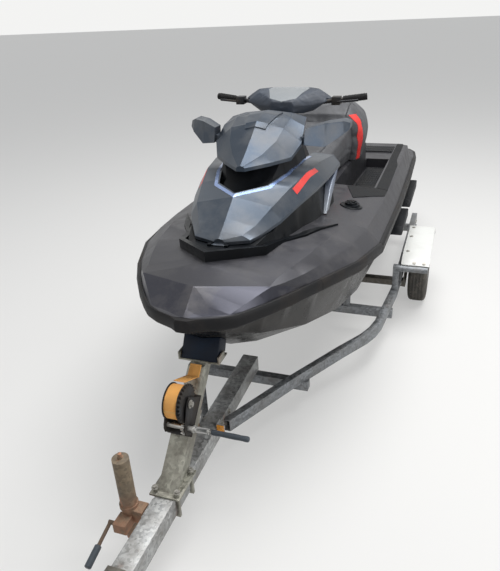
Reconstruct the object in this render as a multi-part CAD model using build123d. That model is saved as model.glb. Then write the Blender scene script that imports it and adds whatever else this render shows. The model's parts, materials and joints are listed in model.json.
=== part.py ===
"""A three-seat personal watercraft on its single-axle road trailer, parked on the trailer's jack.

Millimetres, +Z up, the bow towards -Y, the craft's port side at +X. The origin is on the ground
at the middle of the overall length. Craft stations are measured aft from the bow's tip, and
station() turns one into the frame's Y. Most tables hold half sections, mirrored by skin().
"""
from build123d import *
import math
import os

os.makedirs("parts", exist_ok=True)

# Sizes shared by the craft and its trailer
OVERALL_LENGTH = 4600      # coupler's tip to the end of the stern platform
NOSE_REACH = 1060          # coupler's tip to the craft's bow
GAP = 0.3                  # seat clearance between pieces that rest on each other
RUN = 0.05                 # radial running clearance of a shaft in its bore
SWING = 6                  # clearance round a panel that swings
BOW_Y = NOSE_REACH - OVERALL_LENGTH / 2


def station(s):
    """Frame Y of a craft station, s millimetres aft of the bow's tip."""
    return BOW_Y + s


def block(x, y, z):
    """Box between two bounds on each axis, each given as a pair."""
    size = [abs(b - a) for a, b in (x, y, z)]
    middle = [(a + b) / 2 for a, b in (x, y, z)]
    return Pos(*middle) * Box(*size)


def span(s0, s1):
    """A pair of Y bounds from two stations."""
    return station(s0), station(s1)


def rod(start, end, radius):
    """Round bar from one point to another."""
    a, b = Vector(*start), Vector(*end)
    return Solid.make_cylinder(radius, (b - a).length, Plane(origin=a, z_dir=b - a))


def tube(start, end, radius, bore):
    """Round tube from one point to another."""
    return rod(start, end, radius) - rod(start, end, bore)


def cross_rod(x0, x1, place, radius):
    """Round bar along X through a (y, z) place."""
    return rod((x0, *place), (x1, *place), radius)


def polygon(corners):
    """Flat face through 3-D corners."""
    return Face(Wire.make_polygon([Vector(*c) for c in corners], close=True))


def slab_x(points, x0, x1):
    """Side-view outline of (y, z) points, as thick as x0 to x1."""
    return extrude(polygon([(min(x0, x1), y, z) for y, z in points]), abs(x1 - x0), dir=(1, 0, 0))


def slab_z(points, z0, z1):
    """Plan outline of (x, y) points, from z0 up to z1."""
    return extrude(polygon([(x, y, z0) for x, y in points]), z1 - z0, dir=(0, 0, 1))


def side_slab(points, x0, x1):
    """Side-view outline of (station, z) points, as thick as x0 to x1."""
    return slab_x([(station(s), z) for s, z in points], x0, x1)


def plan_slab(points, z0, z1):
    """Plan outline through (x, station) points of the port half, mirrored to both sides."""
    port = [(x, station(s)) for x, s in points]
    starboard = [(-x, y) for x, y in reversed(port) if x > 0]
    return slab_z(port + starboard, z0, z1)


def skin(rows, outline):
    """Ruled solid through one cross-section a row; the row's first column is its station."""
    wires = []
    for row in rows:
        half = outline(*row[1:])
        whole = half + [(-x, z) for x, z in reversed(half) if x > 0]
        corners = [Vector(x, station(row[0]), z) for x, z in whole]
        wires.append(Wire.make_polygon(corners, close=True))
    return Solid.make_loft(wires, ruled=True)


def prism(*sections):
    """Ruled solid through closed sections of 3-D corners."""
    return Solid.make_loft([Wire.make_polygon([Vector(*c) for c in s], close=True) for s in sections], ruled=True)


def both(piece):
    """The piece and its mirror image across the centre plane."""
    return piece, mirror(piece, about=Plane.YZ)


def loose(*pieces):
    """Separate solids kept together as one node."""
    return Compound(children=[s for p in pieces for s in p.solids()])


def pair(piece):
    """The piece and its mirror image as one node of separate solids."""
    return loose(*both(piece))


def biggest(shape):
    """The largest solid of a cut shape."""
    return shape.solids().sort_by(SortBy.VOLUME)[-1]


def fused(pieces):
    """One shape from several that overlap."""
    whole = pieces[0]
    for piece in pieces[1:]:
        whole = whole + piece
    return whole


def along(table, s, column):
    """Value of a table's column at a station, straight between rows."""
    for a, b in zip(table, table[1:]):
        if s <= b[0]:
            t = max(0.0, (s - a[0]) / (b[0] - a[0]))
            return a[column] + t * (b[column] - a[column])
    return table[-1][column]


def keep(name, shape):
    """Write one sub-part."""
    solids = shape.solids()
    out = solids[0] if len(solids) == 1 else Compound(children=list(solids))
    export_step(out, f"parts/{name}.step")


# Hull, deck and bumper
DECK_LIP = 20              # the deck's edge above the joint line
HULL_LIP = 30              # the hull's edge below the joint line
BUMPER_WIDTH = 22
BUMPER_DROP = 34           # the bumper's lower edge below the joint line

# station, half beam over the bumper, joint line height, how far the hull's inner top sinks below its edge
SHEER = [
    (22, 62, 845, 1), (50, 136, 845, 1), (84, 190, 845, 2), (131, 232, 847, 4), (200, 286, 849, 8),
    (300, 352, 850, 16), (450, 432, 846, 30), (720, 545, 820, 30), (1020, 605, 790, 30), (1800, 612, 745, 30),
    (2600, 603, 700, 30), (3220, 586, 665, 30), (3400, 566, 655, 30), (3500, 520, 650, 30), (3540, 470, 648, 30),
]
# station, keel height, strake x, strake z, chine x, chine z
HULL = [
    (22, 796, 12, 799, 26, 806), (100, 746, 60, 757, 150, 780), (200, 662, 90, 684, 240, 730),
    (450, 486, 130, 524, 358, 644), (720, 372, 160, 428, 440, 584), (1020, 302, 190, 374, 484, 540),
    (1800, 262, 220, 345, 512, 476), (2600, 260, 230, 342, 506, 452), (3440, 260, 230, 342, 484, 442),
]
# station, lower facet x, z, upper facet x, z, height at the middle
DECK = [
    (22, 14, 866, 8, 866.5, 867), (50, 74, 866.5, 36, 875, 884.5), (84, 163, 867, 80, 888, 908),
    (131, 198, 883, 10, 939, 941), (200, 249, 908, 180, 928, 969), (237, 277, 920, 273, 922, 984),
    (300, 316, 914, 284, 930, 990), (400, 362, 906, 318, 936, 994), (550, 420, 900, 360, 940, 994),
    (800, 490, 888, 408, 930, 996), (1040, 520, 872, 440, 900, 985), (1400, 532, 860, 458, 874, 940),
    (1750, 540, 850, 474, 862, 890), (2900, 536, 842, 470, 850, 862), (3060, 505, 800, 452, 806, 810),
    (3200, 500, 703, 440, 703.5, 704), (3540, 446, 701, 420, 701.5, 702),
]


def sheer(s):
    return along(SHEER, s, 2)


def sink(s):
    return along(SHEER, s, 3)


def side_x(s):
    """Half beam inside the bumper."""
    return along(SHEER, s, 1) - BUMPER_WIDTH


def rows_on_sheer(table):
    """The sheer's half beam, height and sink joined to a table's own columns, at every station of either."""
    last = table[-1][0]
    stops = sorted(s for s in {r[0] for r in SHEER} | {r[0] for r in table} if s <= last)
    own = range(1, len(table[0]))
    return [(s, side_x(s), sheer(s), sink(s), *(along(table, s, c) for c in own)) for s in stops]


def hull_outline(side, joint, drop, keel, strake_x, strake_z, chine_x, chine_z):
    edge = joint - HULL_LIP
    return [(0, keel), (strake_x, strake_z), (chine_x, chine_z), (side, edge),
            (side * 0.9, edge - drop), (0, edge - drop)]


def deck_outline(side, joint, drop, x1, z1, x2, z2, top):
    edge = joint - HULL_LIP
    return [(0, edge - drop), (side * 0.9, edge - drop), (side, edge), (side, joint + DECK_LIP),
            (x1, z1), (x2, z2), (0, top)]


def bumper_outline(side, joint):
    low, high, half = joint - BUMPER_DROP, joint + DECK_LIP, side + BUMPER_WIDTH
    return [(0, low), (half - 6, low), (half, low + 8), (half, high - 14), (half - 8, high), (0, high)]


BUMPER_JOINTS = (450, 1020)            # stations where the bumper's lengths meet
BUMPER_SEAM = 1.5


def make_bumper(hull, deck):
    """Rub rail round the joint line, in five lengths."""
    first = SHEER[0]
    rows = [(first[0] - BUMPER_WIDTH, 8, first[2])] + [(r[0], r[1] - BUMPER_WIDTH, r[2]) for r in SHEER]
    ring = skin(rows, bumper_outline) - hull - deck
    for s in BUMPER_JOINTS:
        ring = ring - block((-900, 900), span(s, s + BUMPER_SEAM), (0, 2000))
    return ring


def deck_z(x, s):
    """Height of the deck's surface at a port place inside its lower facet."""
    x1, z1, x2, z2, top = (along(DECK, s, c) for c in range(1, 6))
    if x <= x2:
        return top + (z2 - top) * x / x2
    return z2 + (z1 - z2) * (x - x2) / (x1 - x2)


# Footwells, seat base and stern platform: the deck's moulded parts
WELL_IN, WELL_OUT = 215, 455           # footwell's walls, from the centre plane
WELL_FRONT, WELL_BACK = 1720, 3010
WELL_FLOOR = 10                        # floor's thickness
PEDESTAL_BACK = 2960
PLATFORM_FRONT, PLATFORM_TOP = 3200, 702


def floor_z(s):
    return sheer(s) - HULL_LIP - sink(s) + WELL_FLOOR


def well_room():
    """The footwell's hollow at port, its floor parallel to the joint line."""
    floor = [(WELL_FRONT, floor_z(WELL_FRONT)), (1800, floor_z(1800)), (2600, floor_z(2600)),
             (WELL_BACK, floor_z(WELL_BACK))]
    return side_slab(floor + [(WELL_BACK, 1000), (WELL_FRONT, 1000)], WELL_IN, WELL_OUT)


def split_deck(deck):
    """The bow deck, two gunwales, the seat base with the footwell floors, and the stern deck."""
    for room in both(well_room()):
        deck = deck - room
    wide, tall = (-900, 900), (0, 2000)
    bow = deck & block(wide, span(-100, WELL_FRONT), tall)
    stern = deck & block(wide, span(WELL_BACK, 4000), tall)
    gunwales = pair(deck & block((WELL_OUT, 900), span(WELL_FRONT, WELL_BACK), tall))
    base = deck & block((-WELL_OUT, WELL_OUT), span(WELL_FRONT, WELL_BACK), tall)
    return bow, gunwales, base, stern


# Pump tunnel and intake under the stern
TUNNEL_HALF, TUNNEL_TOP, TUNNEL_FRONT, TUNNEL_BACK = 135, 540, 2880, 3500
PUMP_Z, PUMP_R, PUMP_BORE = 360, 98, 80
SHAFT_R, SHAFT_FRONT = 12, 2500
INTAKE_FRONT, INTAKE_BACK, INTAKE_HALF = 2380, 2760, 78
HULL_SKIN = 262                        # height of the keel line over the intake


def cut_tunnel(hull):
    """The jet pump's tunnel, the water intake ahead of it and the shaft's bore."""
    room = block((-TUNNEL_HALF, TUNNEL_HALF), span(TUNNEL_FRONT, TUNNEL_BACK), (0, TUNNEL_TOP))
    end = TUNNEL_FRONT + 10
    low, high = PUMP_Z - PUMP_BORE, PUMP_Z + PUMP_BORE
    intake = side_slab(
        [(INTAKE_FRONT, 0), (INTAKE_FRONT, HULL_SKIN), (INTAKE_BACK - 60, high), (end, high),
         (end, low), (INTAKE_BACK, low), (INTAKE_BACK, 0)], -INTAKE_HALF, INTAKE_HALF)
    bore = rod((0, station(SHAFT_FRONT - 20), PUMP_Z), (0, station(INTAKE_BACK), PUMP_Z), SHAFT_R + RUN)
    return biggest(hull - room - intake - bore)


# Engine, one sealed mass in its bay under the driver's seat
ENGINE_HALF, ENGINE_FRONT, ENGINE_BACK, ENGINE_LOW, ENGINE_HIGH = 170, 1500, 2100, 380, 790
BAY_ROOM = (30, 40, 20)                # the bay's clearance on each axis


def engine_box(room=(0, 0, 0)):
    x, y, z = room
    return block((-ENGINE_HALF - x, ENGINE_HALF + x), span(ENGINE_FRONT - y, ENGINE_BACK + y),
                 (ENGINE_LOW, ENGINE_HIGH + z))


# Front storage bin under the hood
BIN_HALF, BIN_FRONT, BIN_BACK, BIN_FLOOR, BIN_TOP, BIN_WALL = 185, 560, 1000, 784, 1000, 4


def bin_room(wall=0, top=1300):
    return block((-BIN_HALF + wall, BIN_HALF - wall), span(BIN_FRONT + wall, BIN_BACK - wall),
                 (BIN_FLOOR + wall, top))


# Nose panel: the painted facets at the bow, port half as x and station
NOSE_EDGE = [(0, 133), (277, 239), (400, 412), (520, 412), (520, -60), (0, -60)]
NOSE_LOW = SHEER[0][2] + DECK_LIP + 1


def nose_zone():
    return plan_slab(NOSE_EDGE, NOSE_LOW, 1000)


# Cowl round the hood: the black base, a V-shaped lip and its two tails
# station, foot x, foot z, rim x, rim z
COWL = [
    (300, 36, 975, 24, 1000), (430, 182, 945, 150, 998), (560, 216, 930, 190, 1024),
    (760, 258, 920, 234, 1062), (916, 288, 915, 262, 1090), (1040, 300, 910, 274, 1104),
    (1320, 298, 900, 270, 1104), (1400, 280, 880, 240, 1050), (1640, 200, 860, 160, 960),
]
LIP_OUTER = [(0, 258), (197, 436), (230, 586), (296, 742), (0, 742)]      # x, station
LIP_INNER = [(0, 290), (176, 452), (204, 596), (282, 746), (0, 760)]
LIP_TOP = ((238, 1034), (760, 944))                             # station, height at its two ends
TAIL = [(230, 586), (300, 700), (396, 940), (284, 742)]
TAIL_HEIGHT = 9


def cowl_outline(foot_x, foot_z, rim_x, rim_z):
    return [(0, 850), (foot_x, 850), (foot_x, foot_z), (rim_x, rim_z), (0, rim_z)]


def make_cowl(deck):
    """Base under the hood, with the lip ahead of it and the tails along the deck."""
    base = skin(COWL, cowl_outline)
    ring = plan_slab(LIP_OUTER, 900, 1100) - plan_slab(LIP_INNER, 800, 1200)
    (s0, z0), (s1, z1) = LIP_TOP
    lip = ring & side_slab([(s0, 880), (s1, 880), (s1, z1), (s0, z0)], -400, 400)
    outline = [(x, station(s)) for x, s in TAIL]
    blade = slab_z(outline, 800, 1000) & (Pos(0, 0, TAIL_HEIGHT) * deck)
    whole = base + lip
    for tail in both(blade):
        whole = whole + tail
    return whole - deck


# Accent strips standing at the cowl's sides, as station and height
STRIP = [(1050, 930), (1116, 932), (1250, 1026), (1330, 1088), (1262, 1088), (1150, 1036)]
STRIP_X = (276, 314)


# Front lid: hood, visor, gauge pod and mirrors on one hinge at the nose
HOOD_WALL = 14
HINGE_S, HINGE_Z, HINGE_R, HINGE_PIN = 402, 1000, 6, 4
LUG_X = (30, 46)
# station, edge x, edge z, crease x, crease z, height at the middle
HOOD = [
    (412, 24, 1012, 16, 1022, 1026), (446, 125, 1016, 92, 1034, 1048), (505, 158, 1024, 130, 1058, 1084),
    (604, 212, 1052, 176, 1110, 1146), (760, 258, 1084, 214, 1150, 1192), (916, 296, 1102, 250, 1176, 1208),
    (1081, 318, 1114, 272, 1184, 1214), (1300, 330, 1122, 296, 1164, 1190),
]
HOOD_HOLLOW = 446                      # station where the shell's hollow begins
HOOD_OPENING = [(0, 630), (118, 738), (160, 880), (182, 1081), (196, 1400), (0, 1400)]      # x, station


def hood_outline(edge_x, edge_z, crease_x, crease_z, top, drop=HOOD_WALL):
    return [(0, edge_z - drop), (edge_x, edge_z - drop), (edge_x, edge_z), (crease_x, crease_z), (0, top)]


def hood_hollow_outline(edge_x, edge_z, crease_x, crease_z, top):
    w = HOOD_WALL
    return hood_outline(edge_x - w, edge_z - w, crease_x - w, crease_z - w, top - w, drop=2 * w)


def lid_room_outline(edge_x, edge_z, crease_x, crease_z, top):
    low, wide = edge_z - HOOD_WALL - SWING, edge_x + SWING
    return [(0, low), (wide, low), (wide, edge_z + 300), (0, edge_z + 300)]


def lid_room():
    """Space that the closed hood takes up, with its clearance."""
    rows = [(HOOD[0][0] - SWING, *HOOD[0][1:])] + HOOD[1:-1] + [(HOOD[-1][0] + SWING, *HOOD[-1][1:])]
    return skin(rows, lid_room_outline)


def hinge_rod(half, radius):
    return cross_rod(-half, half, (station(HINGE_S), HINGE_Z), radius)


def hinge_room():
    s, z, side = HINGE_S, HINGE_Z, LUG_X[1]
    return block((-side, side), span(s - 12, s + 12), (z - 12, z + 40))


def hinge_lugs():
    """Two ears on the cowl that carry the lid's pin."""
    s, z = HINGE_S, HINGE_Z
    ear = block((LUG_X[0], LUG_X[1] + 0.2), span(s - 12.2, s + 8), (z - 40, z + 7)) - hinge_rod(60, HINGE_PIN + RUN)
    return both(ear)


def make_hood():
    shell = skin(HOOD, hood_outline)
    hollow = [(r[0] + (HOOD_WALL if r[0] == HOOD_HOLLOW else 0), *r[1:]) for r in HOOD if r[0] >= HOOD_HOLLOW]
    hollow[-1] = (HOOD[-1][0] - HOOD_WALL, *HOOD[-1][1:])
    shell = shell - skin(hollow, hood_hollow_outline) - plan_slab(HOOD_OPENING, 900, 1400)
    arm = side_slab([(HINGE_S, HINGE_Z - HINGE_R), (HINGE_S, HINGE_Z + HINGE_R), (HINGE_S + 58, HINGE_Z + 10),
                     (HINGE_S + 58, HINGE_Z)], -20, 20)
    return shell + arm + hinge_rod(LUG_X[0] - 6, HINGE_R) + hinge_rod(LUG_X[1] - 6, HINGE_PIN)


# station, edge x, edge z, crease x, crease z, height at the middle
VISOR = [
    (707, 20, 1243, 12, 1250, 1252), (800, 108, 1246, 70, 1280, 1300), (888, 183, 1252, 112, 1322, 1350),
    (962, 213, 1300, 130, 1366, 1392), (1060, 204, 1358, 136, 1394, 1412), (1150, 190, 1382, 120, 1402, 1414),
]
VISOR_WALL = 16
VISOR_RAISED = (930, 1112, 84, 6)      # panel's front and back stations, half width, height
# station, foot half width, foot z, head half width, head z
POD = [
    (652, 40, 1092, 30, 1108), (740, 150, 1090, 120, 1118), (810, 172, 1092, 110, 1160), (880, 196, 1094, 140, 1244),
    (1000, 212, 1100, 164, 1284), (1120, 216, 1104, 152, 1362),
]


def visor_outline(edge_x, edge_z, crease_x, crease_z, top):
    return hood_outline(edge_x, edge_z, crease_x, crease_z, top, drop=VISOR_WALL)


def make_visor():
    """Faceted canopy with a raised panel at its middle."""
    shell = skin(VISOR, visor_outline)
    front, back, half, high = VISOR_RAISED
    panel = (Pos(0, 0, high) * shell) & plan_slab(
        [(0, front), (half * 0.6, front), (half, back), (0, back)], 1200, 1500)
    return shell + panel


def box_outline(foot_x, foot_z, head_x, head_z):
    return [(0, foot_z), (foot_x, foot_z), (head_x, head_z), (0, head_z)]


# Mirror housing's sections at port: x, then four corners as station and height
MIRROR = [
    (224, ((960, 1290), (1050, 1290), (1058, 1356), (985, 1358))),
    (310, ((1016, 1272), (1126, 1280), (1132, 1374), (1044, 1376))),
    (382, ((1076, 1316), (1182, 1320), (1186, 1374), (1104, 1374))),
    (408, ((1112, 1336), (1182, 1340), (1184, 1364), (1128, 1362))),
]
STALK = (150, 232)                     # the stalk's reach in x
STALK_S, STALK_Z = (985, 1046), (1288, 1322)
MIRROR_FACE = [(250, 1074, 1294, 1352), (310, 1129, 1288, 1366), (378, 1182, 1326, 1366)]   # x, station, low, high
GLASS = 5


def mirror_housing(pod, visor):
    body = prism(*[[(x, station(s), z) for s, z in corners] for x, corners in MIRROR])
    stalk = block(STALK, span(*STALK_S), STALK_Z)
    return body + stalk - pod - visor


def mirror_glass(housing):
    """Thin reflecting plate on the housing's aft face."""
    sections = [[(x, station(s - GLASS), low), (x, station(s + GLASS), low), (x, station(s + GLASS), high),
                 (x, station(s - GLASS), high)] for x, s, low, high in MIRROR_FACE]
    return biggest(prism(*sections) - housing)


# Console with its glovebox, ahead of the driver's seat
# station, foot half width, foot z, head half width, head z
CONSOLE = [
    (1140, 150, 980, 150, 1150), (1250, 168, 970, 122, 1230), (1420, 168, 950, 84, 1262),
    (1560, 162, 890, 102, 1092), (1640, 150, 870, 120, 964),
]
GLOVE_LOW, GLOVE_HIGH = (1545, 1113), (1448, 1232)     # pocket's mouth, station and height of its two ends
GLOVE_HALF, GLOVE_DEEP, GLOVE_LID, GLOVE_EDGE = 58, 70, 8, 10
GLOVE_SEAT = 6                         # lid's underside above the mouth's plane
GLOVE_PIN, GLOVE_BARREL = 3, 5
GLOVE_HINGE = (-11, 10)                # up the lid and out from the mouth's plane
GLOVE_LUG = (42, 51)
GLOVE_LENGTH = math.dist(GLOVE_LOW, GLOVE_HIGH)
GLOVE_UP = ((GLOVE_HIGH[0] - GLOVE_LOW[0]) / GLOVE_LENGTH, (GLOVE_HIGH[1] - GLOVE_LOW[1]) / GLOVE_LENGTH)


def on_glove(a, n):
    """Frame (y, z) at a distance up the lid and out from the mouth's plane."""
    return station(GLOVE_LOW[0] + GLOVE_UP[0] * a + GLOVE_UP[1] * n), GLOVE_LOW[1] + GLOVE_UP[1] * a - GLOVE_UP[0] * n


def glove_slab(a, n, x0, x1):
    """Box along the lid's slope between two bounds up it and two out from it."""
    corners = [(a[0], n[0]), (a[1], n[0]), (a[1], n[1]), (a[0], n[1])]
    return slab_x([on_glove(*c) for c in corners], x0, x1)


def cut_glovebox(console):
    """Pocket and hinge lugs for the glovebox lid."""
    hinge = on_glove(*GLOVE_HINGE)
    console = console - glove_slab((0, GLOVE_LENGTH), (-GLOVE_DEEP, 60), -GLOVE_HALF, GLOVE_HALF)
    lug = glove_slab((-20, -9), (-10, 15), *GLOVE_LUG) - cross_rod(0, 60, hinge, GLOVE_PIN + RUN)
    for ear in both(lug):
        console = console + ear
    return console


def make_glovebox_lid():
    hinge = on_glove(*GLOVE_HINGE)
    wide = GLOVE_HALF + GLOVE_EDGE
    lid = glove_slab((-8, GLOVE_LENGTH + 8), (GLOVE_SEAT, GLOVE_SEAT + GLOVE_LID), -wide, wide)
    for notch in both(glove_slab((-22, -3), (0, 20), GLOVE_LUG[0] - 1, GLOVE_LUG[1] + 1)):
        lid = lid - notch
    lid = lid + cross_rod(2 - GLOVE_LUG[0], GLOVE_LUG[0] - 2, hinge, GLOVE_BARREL)
    return lid + cross_rod(-GLOVE_LUG[1] - 2, GLOVE_LUG[1] + 2, hinge, GLOVE_PIN)


# Steering: column in the console, bar with levers and grips, padded cover
COLUMN_TILT = 28                       # degrees aft from vertical
COLUMN_S, COLUMN_Z = 1395, 1240        # column's foot on the console
COLUMN_R, COLUMN_PIN, COLUMN_LENGTH = 26, 12, 190
COLUMN_UP = Vector(0, math.sin(math.radians(COLUMN_TILT)), math.cos(math.radians(COLUMN_TILT)))
BAR_R, BAR_SPREAD, BAR_HALF = 11, 200, 420
BAR_SWEEP, BAR_RISE = 60, 20           # how far the bar's ends lie aft of and above its middle
GRIP_R, GRIP_FROM = 17, 300


def on_column(a):
    """Point on the steering axis, a millimetres up from the column's foot."""
    return Vector(0, station(COLUMN_S), COLUMN_Z) + COLUMN_UP * a


def bar_point(x):
    """Point on the handlebar's centre line at port."""
    middle = on_column(COLUMN_LENGTH - 12)
    t = max(0.0, (x - BAR_SPREAD + 10) / (BAR_HALF - BAR_SPREAD + 10))
    return x, middle.Y + BAR_SWEEP * t, middle.Z + BAR_RISE * t


def make_handlebar():
    """Column, bar, switch housings and the two hand levers."""
    bar = rod(on_column(-30), on_column(COLUMN_LENGTH), COLUMN_R) + rod(on_column(-60), on_column(0), COLUMN_PIN)
    x, y, z = bar_point(BAR_SPREAD)
    bar = bar + rod((-x, y, z), (x, y, z), BAR_R)
    arm = rod(bar_point(BAR_SPREAD - 10), bar_point(BAR_HALF), BAR_R)
    x, y, z = bar_point((BAR_SPREAD + GRIP_FROM) / 2 + 18)
    housing = block((x - 22, x + 22), (y - 34, y + 18), (z - 20, z + 20))
    lever = rod((x + 8, y - 30, z - 4), (x + 116, y - 24, z + 4), 6)
    for side in both(arm + housing + lever):
        bar = bar + side
    return bar


def make_grips():
    end, start = bar_point(BAR_HALF), bar_point(GRIP_FROM)
    return pair(tube(start, end, GRIP_R, BAR_R))


def cut_column(console):
    """Clearance for the column's collar, and its bearing below."""
    room = rod(on_column(-36), on_column(COLUMN_LENGTH), COLUMN_R + SWING)
    return console - room - rod(on_column(-66), on_column(0), COLUMN_PIN + RUN)


# Bar pad, from the bar's middle: distance aft, foot x, foot z, side x, side z, head x, head z
PAD = [
    (-115, 56, -40, 66, -2, 52, 18), (-70, 112, -48, 150, -6, 96, 34), (-20, 150, -44, 220, 2, 150, 50),
    (40, 150, -28, 250, 14, 170, 62), (105, 96, 4, 146, 26, 110, 62), (145, 46, 24, 60, 38, 50, 54),
]
PAD_COVER = [(0, -110), (72, -78), (112, 40), (92, 150), (0, 150)]     # x, distance aft of the bar's middle
COVER = 8


def pad_outline(foot_x, foot_z, side_x, side_z, head_x, head_z):
    return [(0, foot_z), (foot_x, foot_z), (side_x, side_z), (head_x, head_z), (0, head_z)]


def make_bar_pad(handlebar):
    """Pad over the bar, with a bright cover let into its top."""
    x, y, z = bar_point(0)
    s = y - BOW_Y
    rows = [(s + r[0], *(v + (z if i % 2 else 0) for i, v in enumerate(r[1:]))) for r in PAD]
    body = skin(rows, pad_outline)
    zone = plan_slab([(x, s + aft) for x, aft in PAD_COVER], z, z + 200)
    cover = biggest((body - Pos(0, 0, -COVER) * body) & zone)
    return body - cover - handlebar, cover - handlebar


# Seats on the seat base
# station, foot x, foot z, side x, side z, shoulder x, shoulder z, top x, top z
SEAT = [
    (1606, 92, 900, 104, 950, 92, 990, 56, 1010), (1700, 138, 885, 150, 950, 136, 1000, 96, 1026),
    (1900, 172, 872, 186, 965, 172, 1020, 128, 1048), (2150, 190, 866, 214, 985, 202, 1064, 150, 1094),
    (2284, 200, 862, 234, 1005, 222, 1110, 166, 1142),
]
REAR_SEAT = [
    (2288, 236, 800, 266, 1010, 258, 1116, 190, 1186), (2350, 258, 792, 286, 1020, 276, 1140, 200, 1226),
    (2500, 256, 792, 282, 1024, 268, 1146, 190, 1228), (2750, 234, 802, 258, 1016, 236, 1130, 158, 1190),
    (2900, 188, 826, 208, 1000, 184, 1090, 124, 1130),
]
SEAT_CROWN = 8
STRIPE_S, STRIPE_Z, STRIPE_DEEP = (2306, 2342), (806, 1206), 4


def seat_outline(foot_x, foot_z, side_x, side_z, shoulder_x, shoulder_z, top_x, top_z):
    return [(0, foot_z), (foot_x, foot_z), (side_x, side_z), (shoulder_x, shoulder_z), (top_x, top_z),
            (0, top_z + SEAT_CROWN)]


def inlaid(seat):
    """Seat with a coloured stripe let into each flank."""
    inner = [(r[0], *(v - (STRIPE_DEEP if i % 2 == 0 else 0) for i, v in enumerate(r[1:]))) for r in REAR_SEAT]
    flank = block((60, 400), span(*STRIPE_S), STRIPE_Z) - skin(inner, seat_outline)
    stripe = biggest(seat & flank)
    return seat - stripe - mirror(stripe, about=Plane.YZ), pair(stripe)


HANDLE_R, HANDLE_X, HANDLE_Z, HANDLE_REACH = 14, 150, 966, 90


def make_grab_handle():
    """Loop behind the passenger's seat."""
    y0 = station(REAR_SEAT[-1][0]) + GAP
    y1, x, z = y0 + HANDLE_REACH, HANDLE_X, HANDLE_Z
    arms = [rod((side * x, y0, z), (side * x, y1, z), HANDLE_R) for side in (-1, 1)]
    return fused(arms + [rod((-x - HANDLE_R, y1, z), (x + HANDLE_R, y1, z), HANDLE_R)])


# Fuel cap and side sponsons
CAP_AT, CAP_R, CAP_HIGH = (393, 1304), 44, 24
SPONSONS = [(1830, 2230), (2370, 2900)]                # stations of each pad's ends
SPONSON_X, SPONSON_Z, SPONSON_HIGH = (500, 626), 520, 56


def make_fuel_cap(deck):
    x, s = CAP_AT
    foot = (x, station(s), deck_z(x, s) - CAP_HIGH)
    brim = (x, station(s), deck_z(x, s) + CAP_HIGH / 2)
    crown = (x, station(s), deck_z(x, s) + CAP_HIGH)
    return biggest(rod(foot, brim, CAP_R) + rod(foot, crown, CAP_R - 12) - deck)


def make_sponsons(hull):
    pads = []
    for s0, s1 in SPONSONS:
        outline = [(s0, SPONSON_Z + 12), (s0 + 60, SPONSON_Z + SPONSON_HIGH), (s1, SPONSON_Z + SPONSON_HIGH),
                   (s1, SPONSON_Z)]
        pads.append(biggest(side_slab(outline, *SPONSON_X) - hull))
    return loose(*[p for pad in pads for p in both(pad)])


# Jet pump: stator housing, impeller on its shaft, steering nozzle and reverse bucket
PUMP_BACK, VENTURI_END, VENTURI_R = 3170, 3215, 58
NOZZLE_PIVOT, NOZZLE_FRONT, NOZZLE_END = 3215, 3235, 3340
NOZZLE_R, NOZZLE_WALL = (70, 56), 6
PIVOT_LUG, PIVOT_R = 82, 6             # nozzle lugs' height from the pump's axis, pin
BUCKET_PIVOT = (3205, 455)             # station and height
BUCKET_R, BUCKET_WALL, BUCKET_UP, BUCKET_DROP = 207, 6, 22, 32
BUCKET_X = (110, 118)
HUB_R, HUB_FRONT, HUB_BACK, VANES = 30, 3080, 3160, 5
BLADES, BLADE_S, BLADE_TIP, BLADE_PITCH = 3, 3010, 70, 35


def axial(s0, s1, radius, z=PUMP_Z):
    return rod((0, station(s0), z), (0, station(s1), z), radius)


def cone(s0, s1, r0, r1):
    """Cone along Y about the pump's axis."""
    return Solid.make_cone(r0, r1, s1 - s0, Plane(origin=(0, station(s0), PUMP_Z), z_dir=(0, 1, 0)))


def around(count, first, piece):
    """Copies of a piece turned about the pump's axis from local X."""
    return [Rot(0, 360 * k / count + first, 0) * piece for k in range(count)]


def make_jet_pump():
    front = TUNNEL_FRONT + GAP
    pump = axial(front, PUMP_BACK, PUMP_R) + cone(PUMP_BACK, VENTURI_END, PUMP_R, VENTURI_R)
    flange = TUNNEL_HALF - 9
    pump = pump + block((-flange, flange), span(front, front + 14), (PUMP_Z - PUMP_R, PUMP_Z + 120))
    pump = pump - axial(front - 5, PUMP_BACK, PUMP_BORE) - cone(PUMP_BACK, VENTURI_END, PUMP_BORE, VENTURI_R - 6)
    for up in (-1, 1):
        z0, z1 = sorted((PUMP_Z + up * PIVOT_LUG, PUMP_Z + up * (PIVOT_LUG + 8)))
        lug = block((-14, 14), span(PUMP_BACK - 30, NOZZLE_PIVOT + 14), (z0, z1))
        pump = pump + (lug - rod((0, station(NOZZLE_PIVOT), z0 - 1), (0, station(NOZZLE_PIVOT), z1 + 1), PIVOT_R + RUN))
    s, z = BUCKET_PIVOT
    ear = side_slab([(3090, PUMP_Z), (3165, PUMP_Z), (s + 12, z + 8), (s - 14, z + 12)], 92, 102)
    pin = cross_rod(100, BUCKET_X[1] + 6, (station(s), z), PIVOT_R)
    for side in both(ear + pin):
        pump = pump + side
    vane = block((HUB_R - 2, PUMP_BORE + 2), (-36, 36), (-2, 2))
    middle = Pos(0, station((HUB_FRONT + HUB_BACK) / 2), PUMP_Z)
    hub = fused([axial(HUB_FRONT, HUB_BACK, HUB_R)] + [middle * v for v in around(VANES, 20, vane)])
    return pump + (hub - axial(HUB_FRONT - 5, HUB_BACK - 10, SHAFT_R + RUN))


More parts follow.
